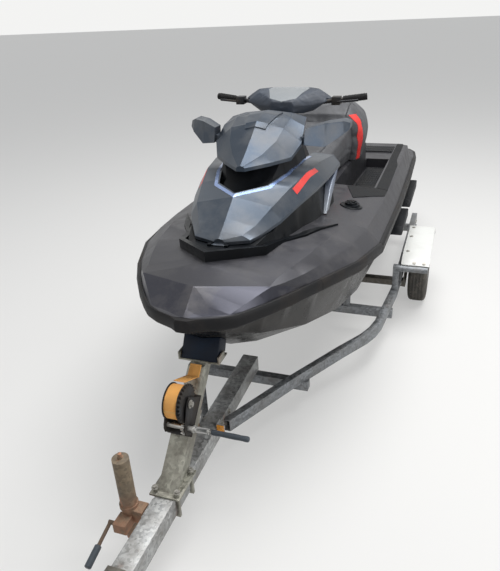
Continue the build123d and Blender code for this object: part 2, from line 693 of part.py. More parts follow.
def make_impeller():
    blade = Rot(BLADE_PITCH, 0, 0) * block((20, BLADE_TIP), (-48, 48), (-2.5, 2.5))
    shaft = axial(SHAFT_FRONT, HUB_BACK - 14, SHAFT_R) + axial(2955, HUB_FRONT - 6, HUB_R - 2)
    return fused([shaft] + [Pos(0, station(BLADE_S), PUMP_Z) * b for b in around(BLADES, 0, blade)])


def make_nozzle():
    """Steering nozzle with its two pivot lugs."""
    (r0, r1), wall = NOZZLE_R, NOZZLE_WALL
    nozzle = cone(NOZZLE_FRONT, NOZZLE_END, r0, r1) - cone(NOZZLE_FRONT, NOZZLE_END, r0 - wall, r1 - wall)
    for up in (-1, 1):
        z0, z1 = sorted((PUMP_Z + up * (PIVOT_LUG - 0.4), PUMP_Z + up * (PIVOT_LUG - 8)))
        z2, z3 = sorted((PUMP_Z + up * (r0 - 10), PUMP_Z + up * (PIVOT_LUG - 2)))
        nozzle = nozzle + block((-12, 12), span(NOZZLE_PIVOT - 11, NOZZLE_FRONT + 30), (z0, z1))
        nozzle = nozzle + block((-12, 12), span(NOZZLE_FRONT + 12, NOZZLE_FRONT + 30), (z2, z3))
        foot, tip = PUMP_Z + up * (PIVOT_LUG - 4), PUMP_Z + up * (PIVOT_LUG + 8)
        nozzle = nozzle + rod((0, station(NOZZLE_PIVOT), foot), (0, station(NOZZLE_PIVOT), tip), PIVOT_R)
    return nozzle


def arc(radius, degrees):
    """Side-view (station, z) points on an arc about the bucket's pivot, angles up from aft."""
    s, z = BUCKET_PIVOT
    return [(s + radius * math.cos(math.radians(d)), z + radius * math.sin(math.radians(d))) for d in degrees]


def make_bucket():
    """Curved gate that swings down behind the nozzle, on two cheeks."""
    sweep = [BUCKET_UP - BUCKET_DROP * k / 6 for k in range(7)]
    s, z = BUCKET_PIVOT
    gate = side_slab(arc(BUCKET_R, sweep) + arc(BUCKET_R + BUCKET_WALL, sweep)[::-1], -BUCKET_X[1], BUCKET_X[1])
    ends = arc(BUCKET_R + BUCKET_WALL / 2, [BUCKET_UP, BUCKET_UP - BUCKET_DROP])
    for cheek in both(side_slab([(s - 14, z - 14), (s - 14, z + 14)] + ends, *BUCKET_X)):
        gate = gate + cheek
    return gate - cross_rod(-130, 130, (station(s), z), PIVOT_R + RUN)


GRATE_BARS, GRATE_HIGH = (-60, -30, 0, 30, 60), 10


def make_grate(hull, pump):
    """Bars over the water intake, and the ride plate under the pump."""
    z = (HULL_SKIN, HULL_SKIN + GRATE_HIGH)
    bars = [block((x - 4, x + 4), span(INTAKE_FRONT, INTAKE_BACK), z) for x in GRATE_BARS]
    side = INTAKE_HALF - GAP
    bars += [block((-side, side), span(s - 8, s + 8), z) for s in (INTAKE_FRONT + 20, INTAKE_BACK - 20)]
    plate = block((2 - TUNNEL_HALF, TUNNEL_HALF - 2), span(TUNNEL_FRONT + 20, 3210), (HULL_SKIN - 12, HULL_SKIN - GAP))
    return loose(fused(bars) - hull, plate - pump)


def build_craft():
    """Every craft node by name."""
    bay = engine_box(BAY_ROOM)
    hull, deck = skin(rows_on_sheer(HULL), hull_outline), skin(rows_on_sheer(DECK), deck_outline)
    bumper = make_bumper(hull, deck)
    hull = cut_tunnel(hull) - bay
    deck = deck - bay - bin_room() - block((-WELL_OUT, WELL_OUT), span(PEDESTAL_BACK, PLATFORM_FRONT), (PLATFORM_TOP, 1000))
    nose = deck & nose_zone()
    cowl = make_cowl(deck) - bin_room() - lid_room() - hinge_room()
    deck = deck - nose - lid_room() - hinge_room()
    for lug in hinge_lugs():
        cowl = cowl + (lug - deck)
    strip = biggest(side_slab(STRIP, *STRIP_X) - cowl - deck - lid_room())
    hood, visor = make_hood(), make_visor()
    pod = biggest(skin(POD, box_outline) - visor - hood)
    mirror_body = mirror_housing(pod, visor)
    console = cut_column(cut_glovebox(skin(CONSOLE, box_outline) - deck - hull - cowl))
    handlebar = make_handlebar()
    pad, cover = make_bar_pad(handlebar)
    rear_seat, stripe = inlaid(skin(REAR_SEAT, seat_outline) - deck)
    pump = make_jet_pump()
    bow, gunwales, base, stern = split_deck(deck)
    return {
        "hull": hull, "deck_bow": bow, "gunwales": gunwales, "seat_base": base, "stern_deck": stern,
        "bumper": bumper, "nose_panel": nose, "cowl": cowl, "accent_strips": pair(strip),
        "bin_tub": bin_room(top=BIN_TOP) - bin_room(BIN_WALL), "hood": hood, "visor": visor, "pod": pod,
        "mirrors": pair(mirror_body), "mirror_glass": pair(mirror_glass(mirror_body)),
        "console": console, "glovebox_lid": make_glovebox_lid(), "handlebar": handlebar,
        "bar_pad": pad, "pad_cover": cover, "grips": make_grips(),
        "seat_driver": biggest(skin(SEAT, seat_outline) - deck - console - cowl), "seat_passenger": rear_seat,
        "seat_stripe": stripe, "grab_handle": make_grab_handle(), "fuel_cap": make_fuel_cap(deck),
        "engine": engine_box(), "sponsons": make_sponsons(hull),
        "jet_pump": pump, "impeller": make_impeller(), "nozzle": make_nozzle(),
        "reverse_bucket": make_bucket(), "intake_grate": make_grate(hull, pump),
    }


# Trailer frame: drawbar, bent side rails, cross members, bunks on their posts
DRAWBAR = 80                           # square box section
BAR_TOP = 262
BAR_LOW = BAR_TOP - DRAWBAR
BAR_FRONT, BAR_BACK = -860, 700        # stations of the drawbar's ends
WALL = 4
RAIL_W, RAIL_TOP = 40, BAR_TOP - 20
# station, centre line's distance from the middle
RAIL = [
    (210, 50), (590, 242), (915, 423), (1080, 522), (1160, 556), (1250, 577), (1406, 592),
    (1680, 616), (2000, 620), (3080, 620),
]
RAIL_OUT = RAIL[-1][1] + RAIL_W / 2
CROSS_S = (670, 1500, 2960)            # stations of the cross members
CROSS_W, CROSS_HIGH = 44, 50
CROSS_OVER = 8                         # how far a cross member passes the rails
BUNK_X, BUNK_W, BUNK_FRONT, BUNK_BACK, BUNK_LOW = 350, 90, 1250, 3050, 352
POST_W, POST_DEEP = 40, 30


def box_tube(x, y, z, wall=WALL):
    """Square tube between bounds, open at both Y ends."""
    hollow = block((x[0] + wall, x[1] - wall), (y[0] - 10, y[1] + 10), (z[0] + wall, z[1] - wall))
    return block(x, y, z) - hollow


def rail_band(half, z0, z1):
    """The rail's plan line, as wide as twice half, between two heights."""
    out = [(x + half, station(s)) for s, x in RAIL]
    back = [(x - half, station(s)) for s, x in reversed(RAIL)]
    return slab_z(out + back, z0, z1)


def make_rail():
    solid_bar = block((-DRAWBAR / 2, DRAWBAR / 2), span(BAR_FRONT, BAR_BACK), (BAR_LOW, BAR_TOP))
    core = rail_band(RAIL_W / 2 - WALL, BAR_LOW + WALL, RAIL_TOP - WALL)
    return rail_band(RAIL_W / 2, BAR_LOW, RAIL_TOP) - core - solid_bar


def make_cross_members():
    """Bars under the rails; the two that pass the bunks carry their posts."""
    bars = []
    for s in CROSS_S:
        half = along(RAIL, s, 1) + RAIL_W / 2 + CROSS_OVER
        bar = block((-half, half), span(s - CROSS_W / 2, s + CROSS_W / 2), (BAR_LOW - CROSS_HIGH, BAR_LOW - GAP))
        if BUNK_FRONT < s < BUNK_BACK:
            post = block((BUNK_X - POST_W / 2, BUNK_X + POST_W / 2), span(s - POST_DEEP / 2, s + POST_DEEP / 2),
                         (BAR_LOW - 4, BUNK_LOW - GAP))
            bar = fused([bar, *both(post)])
        bars.append(bar)
    return loose(*bars)


def make_bunks(hull):
    timber = block((BUNK_X - BUNK_W / 2, BUNK_X + BUNK_W / 2), span(BUNK_FRONT, BUNK_BACK), (BUNK_LOW, BUNK_LOW + 118))
    return pair((timber - Pos(0, 0, -GAP) * hull).solids().sort_by(Axis.Z)[0])


# Axle, wheels and fenders
AXLE_S, AXLE_Z, AXLE_BAR = 1935, 168, 54
AXLE_HALF = RAIL_OUT + 10              # the beam passes the rails by this much at each side
ARM, ARM_GAP = 14, 16                  # trailing arm's thickness and its clearance to the tyre
WHEEL_S, WHEEL_R, WHEEL_W = 2050, 207.5, 120
WHEEL_X = AXLE_HALF + ARM + ARM_GAP + WHEEL_W / 2
RIM_R, RIM_W = 102, 112                # bead seat's radius and the rim's width over its flanges
STUB_R, HUB_R_OUT, HUB_IN, HUB_OUT = 20, 38, 40, 38
CAP_REACH = 12


def at_hub(x):
    return x, station(WHEEL_S), WHEEL_R


def make_axle():
    """Square beam with a trailing arm and a stub at each end."""
    half = AXLE_BAR / 2
    beam = block((-AXLE_HALF, AXLE_HALF), span(AXLE_S - half, AXLE_S + half), (AXLE_Z - half, BAR_LOW - GAP))
    low, tip = AXLE_Z - half - 1, WHEEL_S + 26
    arm = side_slab(
        [(AXLE_S - 30, low), (AXLE_S + 30, low), (tip, WHEEL_R - 24), (tip, WHEEL_R + 24),
         (WHEEL_S - 26, WHEEL_R + 24), (AXLE_S - 30, low + 56)], AXLE_HALF - 2, AXLE_HALF + ARM)
    end = WHEEL_X + HUB_OUT + 2
    stub = rod(at_hub(AXLE_HALF), at_hub(end), STUB_R) + rod(at_hub(end - 10), at_hub(end + 5), STUB_R - 6)
    stub = stub + rod(at_hub(end + 2), at_hub(end + CAP_REACH), STUB_R + 8)
    return fused([beam, *both(arm + stub)])


def turned(points):
    """Ring about the hub's axis from (radius, x offset) points."""
    face = polygon([(WHEEL_X + dx, station(WHEEL_S), WHEEL_R + r) for r, dx in points])
    return revolve(face, Axis(at_hub(WHEEL_X), (1, 0, 0)), 360)


def mirrored(points):
    """A half profile joined to its mirror image in the second column."""
    return points + [(r, -dx) for r, dx in reversed(points)]


def make_tyre():
    seat, half = RIM_W / 2 - 11, WHEEL_W / 2
    rise = (WHEEL_R - RIM_R) / 105.5
    profile = [(RIM_R - 1, -seat), (RIM_R + 11, -seat - 6.5), (RIM_R + 48 * rise, -half),
               (WHEEL_R - 19.5, 4 - half), (WHEEL_R - 5.5, 16 - half), (WHEEL_R, 40 - half)]
    return turned(mirrored(profile)) - rod(at_hub(WHEEL_X - half), at_hub(WHEEL_X + half), RIM_R + GAP)


def make_rim():
    """Pressed steel disc and rim on a hub barrel."""
    bore, edge, seat = STUB_R + RUN, RIM_W / 2, RIM_W / 2 - 10
    return turned([
        (bore, -HUB_IN), (HUB_R_OUT, -HUB_IN), (HUB_R_OUT, 0), (RIM_R - 18, 8), (RIM_R - 18, -20),
        (RIM_R - 5, -32), (RIM_R - 5, 4 - edge), (RIM_R + 12, -edge), (RIM_R + 12, 4 - edge),
        (RIM_R, -seat), (RIM_R, -30), (RIM_R - 14, -18), (RIM_R - 14, 18), (RIM_R, 30), (RIM_R, seat),
        (RIM_R + 12, edge - 4), (RIM_R + 12, edge), (RIM_R - 5, edge - 4), (RIM_R - 5, 32), (RIM_R - 18, 20),
        (RIM_R - 18, 14), (HUB_R_OUT, 8), (HUB_R_OUT, HUB_OUT), (bore, HUB_OUT),
    ])


FENDER_OVER, FENDER_IN, FENDER_SIDE = 29, 34, 12       # clearances above, inside and outside the tyre
FENDER_TOP = 2 * WHEEL_R + FENDER_OVER
FENDER_X = (WHEEL_X - WHEEL_W / 2 - FENDER_IN, WHEEL_X + WHEEL_W / 2 + FENDER_SIDE)
FENDER_EDGE, PLATE = 20, 3
# from the wheel's middle: how far past the tyre's edge, height below the fender's top
FENDER_FORE = [(-172, 36), (-102, 0)]
FENDER_AFT = [(-6, 0), (134, 100)]
STAY_S = (-250, 0, 165)                # stays' places from the wheel's middle
STAY_W, STAY = 36, 4
FRONT_STAY = (-390, 19)                # place and radius of the tube under the fender's front edge


def fender_line():
    fore = [(WHEEL_S - WHEEL_R + ds, FENDER_TOP - dz) for ds, dz in FENDER_FORE]
    aft = [(WHEEL_S + WHEEL_R + ds, FENDER_TOP - dz) for ds, dz in FENDER_AFT]
    return fore + aft


def make_fender():
    """Bent sheet over the wheel with a turned-down outer edge."""
    line = fender_line()
    under = [(s, z - PLATE) for s, z in reversed(line)]
    sheet = side_slab(line + under, *FENDER_X)
    edge = block((FENDER_X[1] - PLATE, FENDER_X[1]), span(line[1][0], line[2][0]), (FENDER_TOP - FENDER_EDGE, FENDER_TOP))
    return sheet + edge


def make_fender_stays(rail):
    """Folded stays from the rail to the fender, and the tube under its front edge."""
    face, under = RAIL_OUT + GAP, FENDER_TOP - PLATE - GAP
    stays = []
    for ds in STAY_S:
        y = span(WHEEL_S + ds - STAY_W / 2, WHEEL_S + ds + STAY_W / 2)
        foot = block((face - 40, face + STAY), y, (RAIL_TOP + GAP, RAIL_TOP + GAP + STAY))
        web = block((face, face + STAY), y, (RAIL_TOP - 30, under))
        head = block((face, FENDER_X[0] + 44), y, (under - STAY, under))
        stays.append(foot + web + head)
    place, radius = FRONT_STAY
    s = WHEEL_S + place
    x = along(RAIL, s, 1)
    z = FENDER_TOP - FENDER_FORE[0][1] - PLATE - radius
    post = block((x - 12, x + 24), span(s - 18, s + 18), (RAIL_TOP + GAP, z + radius))
    tube_bar = cross_rod(x + 20, FENDER_X[1] - 8, (station(s), z), radius)
    return [stay - rail for stay in stays] + [post + tube_bar - rail]


# Winch post, its clamp, the stop's bracket, the bow block
POST_LOW, POST_HIGH = (-222, 262), (118, 598)          # station and height of the post's centre line
POST_LENGTH = math.dist(POST_LOW, POST_HIGH)
POST_UP = ((POST_HIGH[0] - POST_LOW[0]) / POST_LENGTH, (POST_HIGH[1] - POST_LOW[1]) / POST_LENGTH)
POST_ANGLE = math.degrees(math.atan2(POST_UP[1], POST_UP[0]))
POST_HALF, HEAD_HALF, HEAD_FROM = 38, 34, 298
POST_TOP = 610
CLAMP_S, CLAMP_HALF, CLAMP_BOLT = (-270, -150), 62, 5
STOP_X, STOP_S, STOP_PLATE, STOP_TURN = 90, (110, 196), 6, 28
BLOCK_HALF = 80
BLOCK = [(112, 0), (205, 0), (230, 56), (170, 96)]     # station, height above the stop's bracket


def on_post(a, n):
    """Frame (y, z) at a distance up the post and out ahead of its centre line."""
    return (station(POST_LOW[0] + POST_UP[0] * a - POST_UP[1] * n), POST_LOW[1] + POST_UP[1] * a + POST_UP[0] * n)


def post_slab(corners, x0, x1):
    """Side-view outline of places on the post, as thick as x0 to x1."""
    return slab_x([on_post(*c) for c in corners], x0, x1)


def post_box(a, n, x0, x1):
    return post_slab([(a[0], n[0]), (a[1], n[0]), (a[1], n[1]), (a[0], n[1])], x0, x1)


def make_winch_post(hull):
    """Leaning square post clamped on the drawbar, with the stop's bracket on its head."""
    half, head = POST_HALF, HEAD_HALF
    post = post_box((-80, HEAD_FROM + 2), (-half, half), -half, half)
    post = post + post_box((HEAD_FROM, POST_LENGTH + 60), (-head, head), -head, head)
    foot = BAR_TOP + GAP
    post = post & block((-60, 60), span(-600, 600), (foot, POST_TOP))
    side, reach = CLAMP_HALF, (CLAMP_S[0] - 20, CLAMP_S[1] + 20)
    post = post + block((-side, side), span(*reach), (foot, foot + 8))
    bolt_x = DRAWBAR / 2 + CLAMP_BOLT + 1
    for s in CLAMP_S:
        y = span(s - 6, s + 6)
        for x in (-bolt_x, bolt_x):
            post = post + block((x - CLAMP_BOLT, x + CLAMP_BOLT), y, (BAR_LOW - 14, BAR_TOP + 24))
        post = post + block((-bolt_x - 5, bolt_x + 5), y, (BAR_LOW - 16, BAR_LOW - 6))
    bracket = block((-STOP_X, STOP_X), span(*STOP_S), (POST_TOP - 0.5, POST_TOP + STOP_PLATE))
    for ear in both(block((STOP_X - STOP_PLATE, STOP_X), span(STOP_S[0], STOP_S[0] + 60),
                          (POST_TOP, POST_TOP + STOP_PLATE + STOP_TURN))):
        bracket = bracket + ear
    return post + (bracket - Pos(0, 0, -GAP) * hull)


def make_bow_block(hull, bumper, post):
    """Rubber stop shaped to the craft's bow."""
    low = POST_TOP + STOP_PLATE + GAP
    lump = side_slab([(s, low + z) for s, z in BLOCK], -BLOCK_HALF, BLOCK_HALF)
    for nudge in ((0, 0, -GAP), (0, -GAP, -GAP)):
        lump = lump - Pos(*nudge) * hull - Pos(*nudge) * bumper
    return (lump - post).solids().sort_by(Axis.Z)[0]


# Winch: geared drum, pinion on the crank, strap to the bow
MODULE, DRUM_TEETH, PINION_TEETH = 5, 28, 10
PRESSURE = 20                          # pressure angle, degrees
ADDENDUM, DEDENDUM, BACKLASH = 0.85, 1.15, 0.4
GEAR_X = (30.5, 40)
DRUM_AT = (303, 133)                   # up the post and out from it
PINION_DIRECTION = 206                 # degrees from up the post, seen from the drum's pin
DRUM_HALF, DRUM_R, FLANGE_R, DRUM_PIN = 26, 30, 70, 9
STRAP_R, STRAP_HALF, STRAP = 66, 24, 3
CRANK_R, CRANK_ARM, CRANK_ANGLE, CRANK_X = 10, 150, -43, (70, 76)
GRIP_LONG, GRIP_WIDE = 160, 12
PLATE_X = 46
SIDE_PLATE = [(196, 0), (345, 0), (325, 112), (288, 114), (200, 74), (188, 54)]       # up the post, out from its face


def involute(angle):
    return math.tan(angle) - angle


def tooth(module, teeth):
    """Half a tooth's flank as (radius, half angle) from root to tip, on a true involute."""
    pitch = module * teeth / 2
    base = pitch * math.cos(math.radians(PRESSURE))
    root, tip = pitch - DEDENDUM * module, pitch + ADDENDUM * module
    half = math.pi / (2 * teeth) - BACKLASH / pitch + involute(math.radians(PRESSURE))
    start = max(base, root)
    radii = [start + (tip - start) * k / 3 for k in range(4)]
    flank = [(r, half - involute(math.acos(min(1.0, base / r)))) for r in radii]
    return flank if root >= base else [(root, 0.85 * flank[0][1])] + flank


def gear(module, teeth, centre, first):
    """Spur gear about an X axis; first is the direction of one tooth's middle, degrees in the side view."""
    half = tooth(module, teeth)
    whole = [(r, -a) for r, a in half] + [(r, a) for r, a in reversed(half)]
    turns = [math.radians(first + 360 * t / teeth) for t in range(teeth)]
    return slab_x([(centre[0] + r * math.cos(t + a), centre[1] + r * math.sin(t + a)) for t in turns for r, a in whole],
                  *GEAR_X)


DRUM = on_post(*DRUM_AT)
MESH = POST_ANGLE + PINION_DIRECTION
CENTRES = MODULE * (DRUM_TEETH + PINION_TEETH) / 2
PINION = (DRUM[0] + CENTRES * math.cos(math.radians(MESH)), DRUM[1] + CENTRES * math.sin(math.radians(MESH)))


def make_drum():
    drum = cross_rod(-DRUM_HALF, DRUM_HALF + 4, DRUM, DRUM_R)
    for x in (-DRUM_HALF - 4, DRUM_HALF + 0.5):
        drum = drum + cross_rod(x, x + 4, DRUM, FLANGE_R)
    return drum + gear(MODULE, DRUM_TEETH, DRUM, MESH) - cross_rod(-60, 60, DRUM, DRUM_PIN + RUN)


def make_strap_roll():
    reach = DRUM_HALF - GAP
    return cross_rod(-reach, reach, DRUM, STRAP_R) - cross_rod(-reach - 1, reach + 1, DRUM, DRUM_R + GAP)


def crank_point(r):
    """Frame (y, z) on the crank arm, r from the pinion's axis."""
    turn = math.radians(CRANK_ANGLE)
    return PINION[0] + r * math.cos(turn), PINION[1] + r * math.sin(turn)


def make_crank():
    """Pinion, its shaft, and the arm with the grip's spindle."""
    x0, x1 = CRANK_X
    turn = math.radians(CRANK_ANGLE)
    wide = (-11 * math.sin(turn), 11 * math.cos(turn))
    near, far = crank_point(0), crank_point(CRANK_ARM)
    arm = slab_x([(near[0] + wide[0], near[1] + wide[1]), (far[0] + wide[0], far[1] + wide[1]),
                  (far[0] - wide[0], far[1] - wide[1]), (near[0] - wide[0], near[1] - wide[1])], x0, x1)
    crank = gear(MODULE, PINION_TEETH, PINION, MESH + 180 + 180 / PINION_TEETH) + cross_rod(-50, x1 + 8, PINION, CRANK_R)
    ends = [cross_rod(x0, x1, near, 15), cross_rod(x0, x1 + 4, far, 12), cross_rod(x1 - 2, x1 + 14, far, 6)]
    return fused([crank, arm, *ends])


def make_crank_grip():
    start = CRANK_X[1] + 14 + GAP
    return cross_rod(start, start + GRIP_LONG, crank_point(CRANK_ARM), GRIP_WIDE)


def make_winch_frame(post):
    """Bent plate on the post's face with two cheeks, the drum's pin and the pinion's bearings."""
    face = POST_HALF + GAP
    frame = post_box((188, 350), (face, face + 5), -PLATE_X - 6, PLATE_X + 6)
    cheek = [(a, face + n) for a, n in SIDE_PLATE]
    for x0, x1 in ((-PLATE_X + 6, -PLATE_X + 10), (PLATE_X, PLATE_X + 4)):
        frame = frame + post_slab(cheek, x0, x1)
    frame = frame - cross_rod(-60, 60, PINION, CRANK_R + RUN)
    return frame + cross_rod(-PLATE_X + 2, PLATE_X + 8, DRUM, DRUM_PIN) - post


def make_strap(frame, post):
    """Taut strap from the roll to the post's head, and its tail over the head's front."""
    end = (POST_LENGTH - 60, POST_HALF + 1)
    off = STRAP_R + 10
    reach = math.dist(end, DRUM_AT)
    lean = math.atan2(end[1] - DRUM_AT[1], end[0] - DRUM_AT[0]) + math.acos(off / reach)
    start = (DRUM_AT[0] + off * math.cos(lean), DRUM_AT[1] + off * math.sin(lean))
    up = (STRAP * math.cos(lean), STRAP * math.sin(lean))
    run = post_slab([start, end, (end[0] + up[0], end[1] + up[1]), (start[0] + up[0], start[1] + up[1])],
                    -STRAP_HALF, STRAP_HALF)
    face = HEAD_HALF + GAP
    tail = post_slab([(end[0] - 1, face), (POST_LENGTH - 10, face), (POST_LENGTH - 10, face + STRAP),
                      (end[0] - 1, POST_HALF + 5)], -STRAP_HALF, STRAP_HALF)
    return run + tail - frame - post


# Jack: swivelling tube with a side crank, and the screw leg with its foot
JACK_X, JACK_S, JACK_R, JACK_BORE = -121, -341, 31, 25
JACK_TOP, JACK_LOW = 476, 96
PIVOT_Z, PIVOT_PIN = 222, 14
FOOT_HALF, FOOT_LONG, FOOT_HIGH, LEG_TOP = 34, 70, 8, 350
JACK_CRANK = (-175, -400, 203)         # crank shaft's outer end: x, station, height
JACK_CRANK_R, JACK_ARM, JACK_GRIP = 8, 90, 82
JACK_CRANK_ANGLE = 195                 # degrees in the side view, forward and slightly down


def jack_rod(z0, z1, radius):
    return rod((JACK_X, station(JACK_S), z0), (JACK_X, station(JACK_S), z1), radius)


def pivot_rod(x0, x1, radius):
    return cross_rod(x0, x1, (station(JACK_S), PIVOT_Z), radius)


def make_jack_mount():
    plate = block((-DRAWBAR / 2 - 6, -DRAWBAR / 2), span(JACK_S - 45, JACK_S + 45), (PIVOT_Z - 34, PIVOT_Z + 34))
    return plate + pivot_rod(-74, -DRAWBAR / 2 - 4, PIVOT_PIN)


def make_jack():
    """Outer tube with its closed top, collar, pivot boss and crank housing."""
    jack = jack_rod(JACK_LOW, JACK_TOP, JACK_R) + jack_rod(PIVOT_Z + 24, PIVOT_Z + 40, JACK_R + 5)
    jack = jack - jack_rod(JACK_LOW - 1, JACK_TOP - 12, JACK_BORE) + jack_rod(JACK_TOP - 1, JACK_TOP + 22, JACK_CRANK_R)
    boss = block((JACK_X + 25, -54), span(JACK_S - 26, JACK_S + 26), (PIVOT_Z - 28, PIVOT_Z + 28))
    x, s, z = JACK_CRANK
    gearbox = block((JACK_X - 29, JACK_X + 23), span(s - 22, JACK_S - 20), (z - 21, z + 21))
    room = jack_rod(JACK_LOW, LEG_TOP + 40, JACK_BORE + 2)
    shaft = cross_rod(x, JACK_X + 11, (station(s), z), JACK_CRANK_R + RUN)
    return jack + (boss - pivot_rod(-100, -40, PIVOT_PIN + RUN) - room) + (gearbox - room - shaft)


def make_jack_leg():
    foot = block((JACK_X - FOOT_HALF, JACK_X + FOOT_HALF), span(JACK_S - FOOT_LONG, JACK_S + FOOT_LONG), (0, FOOT_HIGH))
    return jack_rod(FOOT_HIGH - 2, LEG_TOP, JACK_BORE - RUN) + foot


def jack_arm_point(r):
    x, s, z = JACK_CRANK
    turn = math.radians(JACK_CRANK_ANGLE)
    return x, station(s + r * math.cos(turn)), z + r * math.sin(turn)


def make_jack_crank():
    x, s, z = JACK_CRANK
    shaft = cross_rod(x - 6, JACK_X + 7, (station(s), z), JACK_CRANK_R)
    return shaft + rod(jack_arm_point(0), jack_arm_point(JACK_ARM), JACK_CRANK_R - 1)


def make_jack_grip():
    return rod(jack_arm_point(JACK_ARM + GAP), jack_arm_point(JACK_ARM + JACK_GRIP), 13)


# Coupler over the drawbar's front end, and its lever
SOCKET_S, SOCKET_R, SOCKET_LOW, SOCKET_HIGH = -1010, 25.5, 200, 262
COUPLER_HALF, COUPLER_HEAD = 33, 50
LEVER_HALF = 12


def make_coupler():
    """Cast head with the ball's socket, bolted over the drawbar, and the closed lever lying on it."""
    top, wall = BAR_TOP + GAP, 28
    neck = side_slab(
        [(SOCKET_S + 10, SOCKET_LOW), (BAR_FRONT, SOCKET_LOW), (BAR_FRONT, top), (BAR_FRONT + 240, top),
         (BAR_FRONT + 240, top + wall + 6), (BAR_FRONT, top + wall + 16), (SOCKET_S + 10, top + 24)],
        -COUPLER_HALF, COUPLER_HALF)
    head = rod((0, station(SOCKET_S), SOCKET_LOW), (0, station(SOCKET_S), SOCKET_HIGH + 28), COUPLER_HEAD)
    socket = rod((0, station(SOCKET_S), SOCKET_LOW - 10), (0, station(SOCKET_S), SOCKET_HIGH), SOCKET_R)
    room = block((-DRAWBAR / 2 - 1, DRAWBAR / 2 + 1), span(BAR_FRONT - GAP, 0), (BAR_LOW - 1, top))
    body = neck + head - socket - room
    crest = top + wall + 16
    lever = side_slab([(BAR_FRONT - 40, crest - 12), (BAR_FRONT + 160, crest + 6), (BAR_FRONT + 160, crest + 18),
                       (BAR_FRONT - 40, crest + 14)], -LEVER_HALF, LEVER_HALF)
    lever = lever + cross_rod(-20, 20, (station(BAR_FRONT - 44), crest), 9)
    return body + lever


# Rear light board with its lamps
BOARD_HALF, BOARD_Z, BOARD = 560, (138, 240), 8
LAMP_X, LAMP_Z, LAMP_DEEP = (440, 556), (166, 238), 28


def make_lights():
    s = CROSS_S[-1] + CROSS_W / 2 + GAP
    board = block((-BOARD_HALF, BOARD_HALF), span(s, s + BOARD), BOARD_Z)
    lamp = block(LAMP_X, span(s + BOARD + GAP, s + BOARD + LAMP_DEEP), LAMP_Z)
    return board, pair(lamp)


def build_trailer(hull, bumper):
    """Every trailer node by name, fitted to the craft's hull and bumper."""
    bar = box_tube((-DRAWBAR / 2, DRAWBAR / 2), span(BAR_FRONT, BAR_BACK), (BAR_LOW, BAR_TOP))
    rail, tyre, rim = make_rail(), make_tyre(), make_rim()
    stays = make_fender_stays(rail)
    fender = fused([make_fender()])
    for stay in stays:
        fender = fender - stay
    post = make_winch_post(hull)
    frame = make_winch_frame(post)
    board, lamps = make_lights()
    nodes = {
        "drawbar": bar + make_jack_mount(), "cross_members": make_cross_members(), "bunks": make_bunks(hull), "axle": make_axle(),
        "fenders": pair(fender), "fender_stays": pair(loose(*stays)), "winch_post": post,
        "bow_block": make_bow_block(hull, bumper, post), "winch_frame": frame, "winch_drum": make_drum(),
        "strap_roll": make_strap_roll(), "strap": make_strap(frame, post), "winch_crank": make_crank(),
        "crank_grip": make_crank_grip(), "jack": make_jack(),
        "jack_leg": make_jack_leg(), "jack_crank": make_jack_crank(), "jack_grip": make_jack_grip(),
        "coupler": make_coupler(), "light_board": board, "tail_lamps": lamps,
    }
    for name, piece in (("rail", rail), ("tyre", tyre), ("rim", rim)):
        nodes[f"{name}_port"], nodes[f"{name}_starboard"] = both(piece)
    return nodes


craft = build_craft()
trailer = build_trailer(craft["hull"], craft["bumper"])
for name, shape in {**craft, **trailer}.items():
    keep(name, shape)
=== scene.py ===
import json
import math
import bpy
import bmesh
from mathutils import Matrix, Vector
from mathutils.bvhtree import BVHTree

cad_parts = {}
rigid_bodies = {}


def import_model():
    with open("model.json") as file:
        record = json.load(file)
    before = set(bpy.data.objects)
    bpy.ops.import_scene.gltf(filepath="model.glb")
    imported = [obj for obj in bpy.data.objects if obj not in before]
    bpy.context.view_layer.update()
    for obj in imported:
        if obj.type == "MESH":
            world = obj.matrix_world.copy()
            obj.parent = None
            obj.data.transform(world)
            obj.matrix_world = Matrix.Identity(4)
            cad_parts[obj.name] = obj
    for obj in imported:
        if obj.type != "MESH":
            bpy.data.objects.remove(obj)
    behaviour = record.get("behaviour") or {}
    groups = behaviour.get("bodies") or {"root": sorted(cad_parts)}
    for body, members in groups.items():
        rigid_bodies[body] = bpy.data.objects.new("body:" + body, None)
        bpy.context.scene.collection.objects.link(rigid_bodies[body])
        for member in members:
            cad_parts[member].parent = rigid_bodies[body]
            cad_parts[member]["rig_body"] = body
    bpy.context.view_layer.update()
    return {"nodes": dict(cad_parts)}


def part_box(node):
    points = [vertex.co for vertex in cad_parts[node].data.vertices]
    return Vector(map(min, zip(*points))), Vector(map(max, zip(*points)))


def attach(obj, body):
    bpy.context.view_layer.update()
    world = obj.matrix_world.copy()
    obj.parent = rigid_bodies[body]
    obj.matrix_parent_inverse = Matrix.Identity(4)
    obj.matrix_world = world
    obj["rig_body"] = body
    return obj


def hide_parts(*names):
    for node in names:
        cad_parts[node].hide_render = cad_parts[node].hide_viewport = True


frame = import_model()
nodes = frame["nodes"]
fixedBody = "craft_and_trailer"
bowY = -1.24  # station 0, the craft's stem, in the frame
print("frame loaded", len(nodes), "nodes")


# millimetres across, back from the stem and up
def at(x, station, z):
    return Vector((x / 1000, bowY + station / 1000, z / 1000))


# a tone of 0 to 255 a channel, made linear
def srgb(r, g, b):
    return tuple(((c / 255 + 0.055) / 1.055) ** 2.4 if c > 10 else c / 255 / 12.92 for c in (r, g, b)) + (1,)


def setAll(thing, settings):
    for key, value in settings.items():
        setattr(thing, key, value)
    return thing


def addNode(tree, kind, inputs=None, **settings):
    node = setAll(tree.nodes.new(kind), settings)
    for key, value in (inputs or {}).items():
        if isinstance(value, bpy.types.NodeSocket):
            tree.links.new(value, node.inputs[key])
        else:
            node.inputs[key].default_value = value
    return node


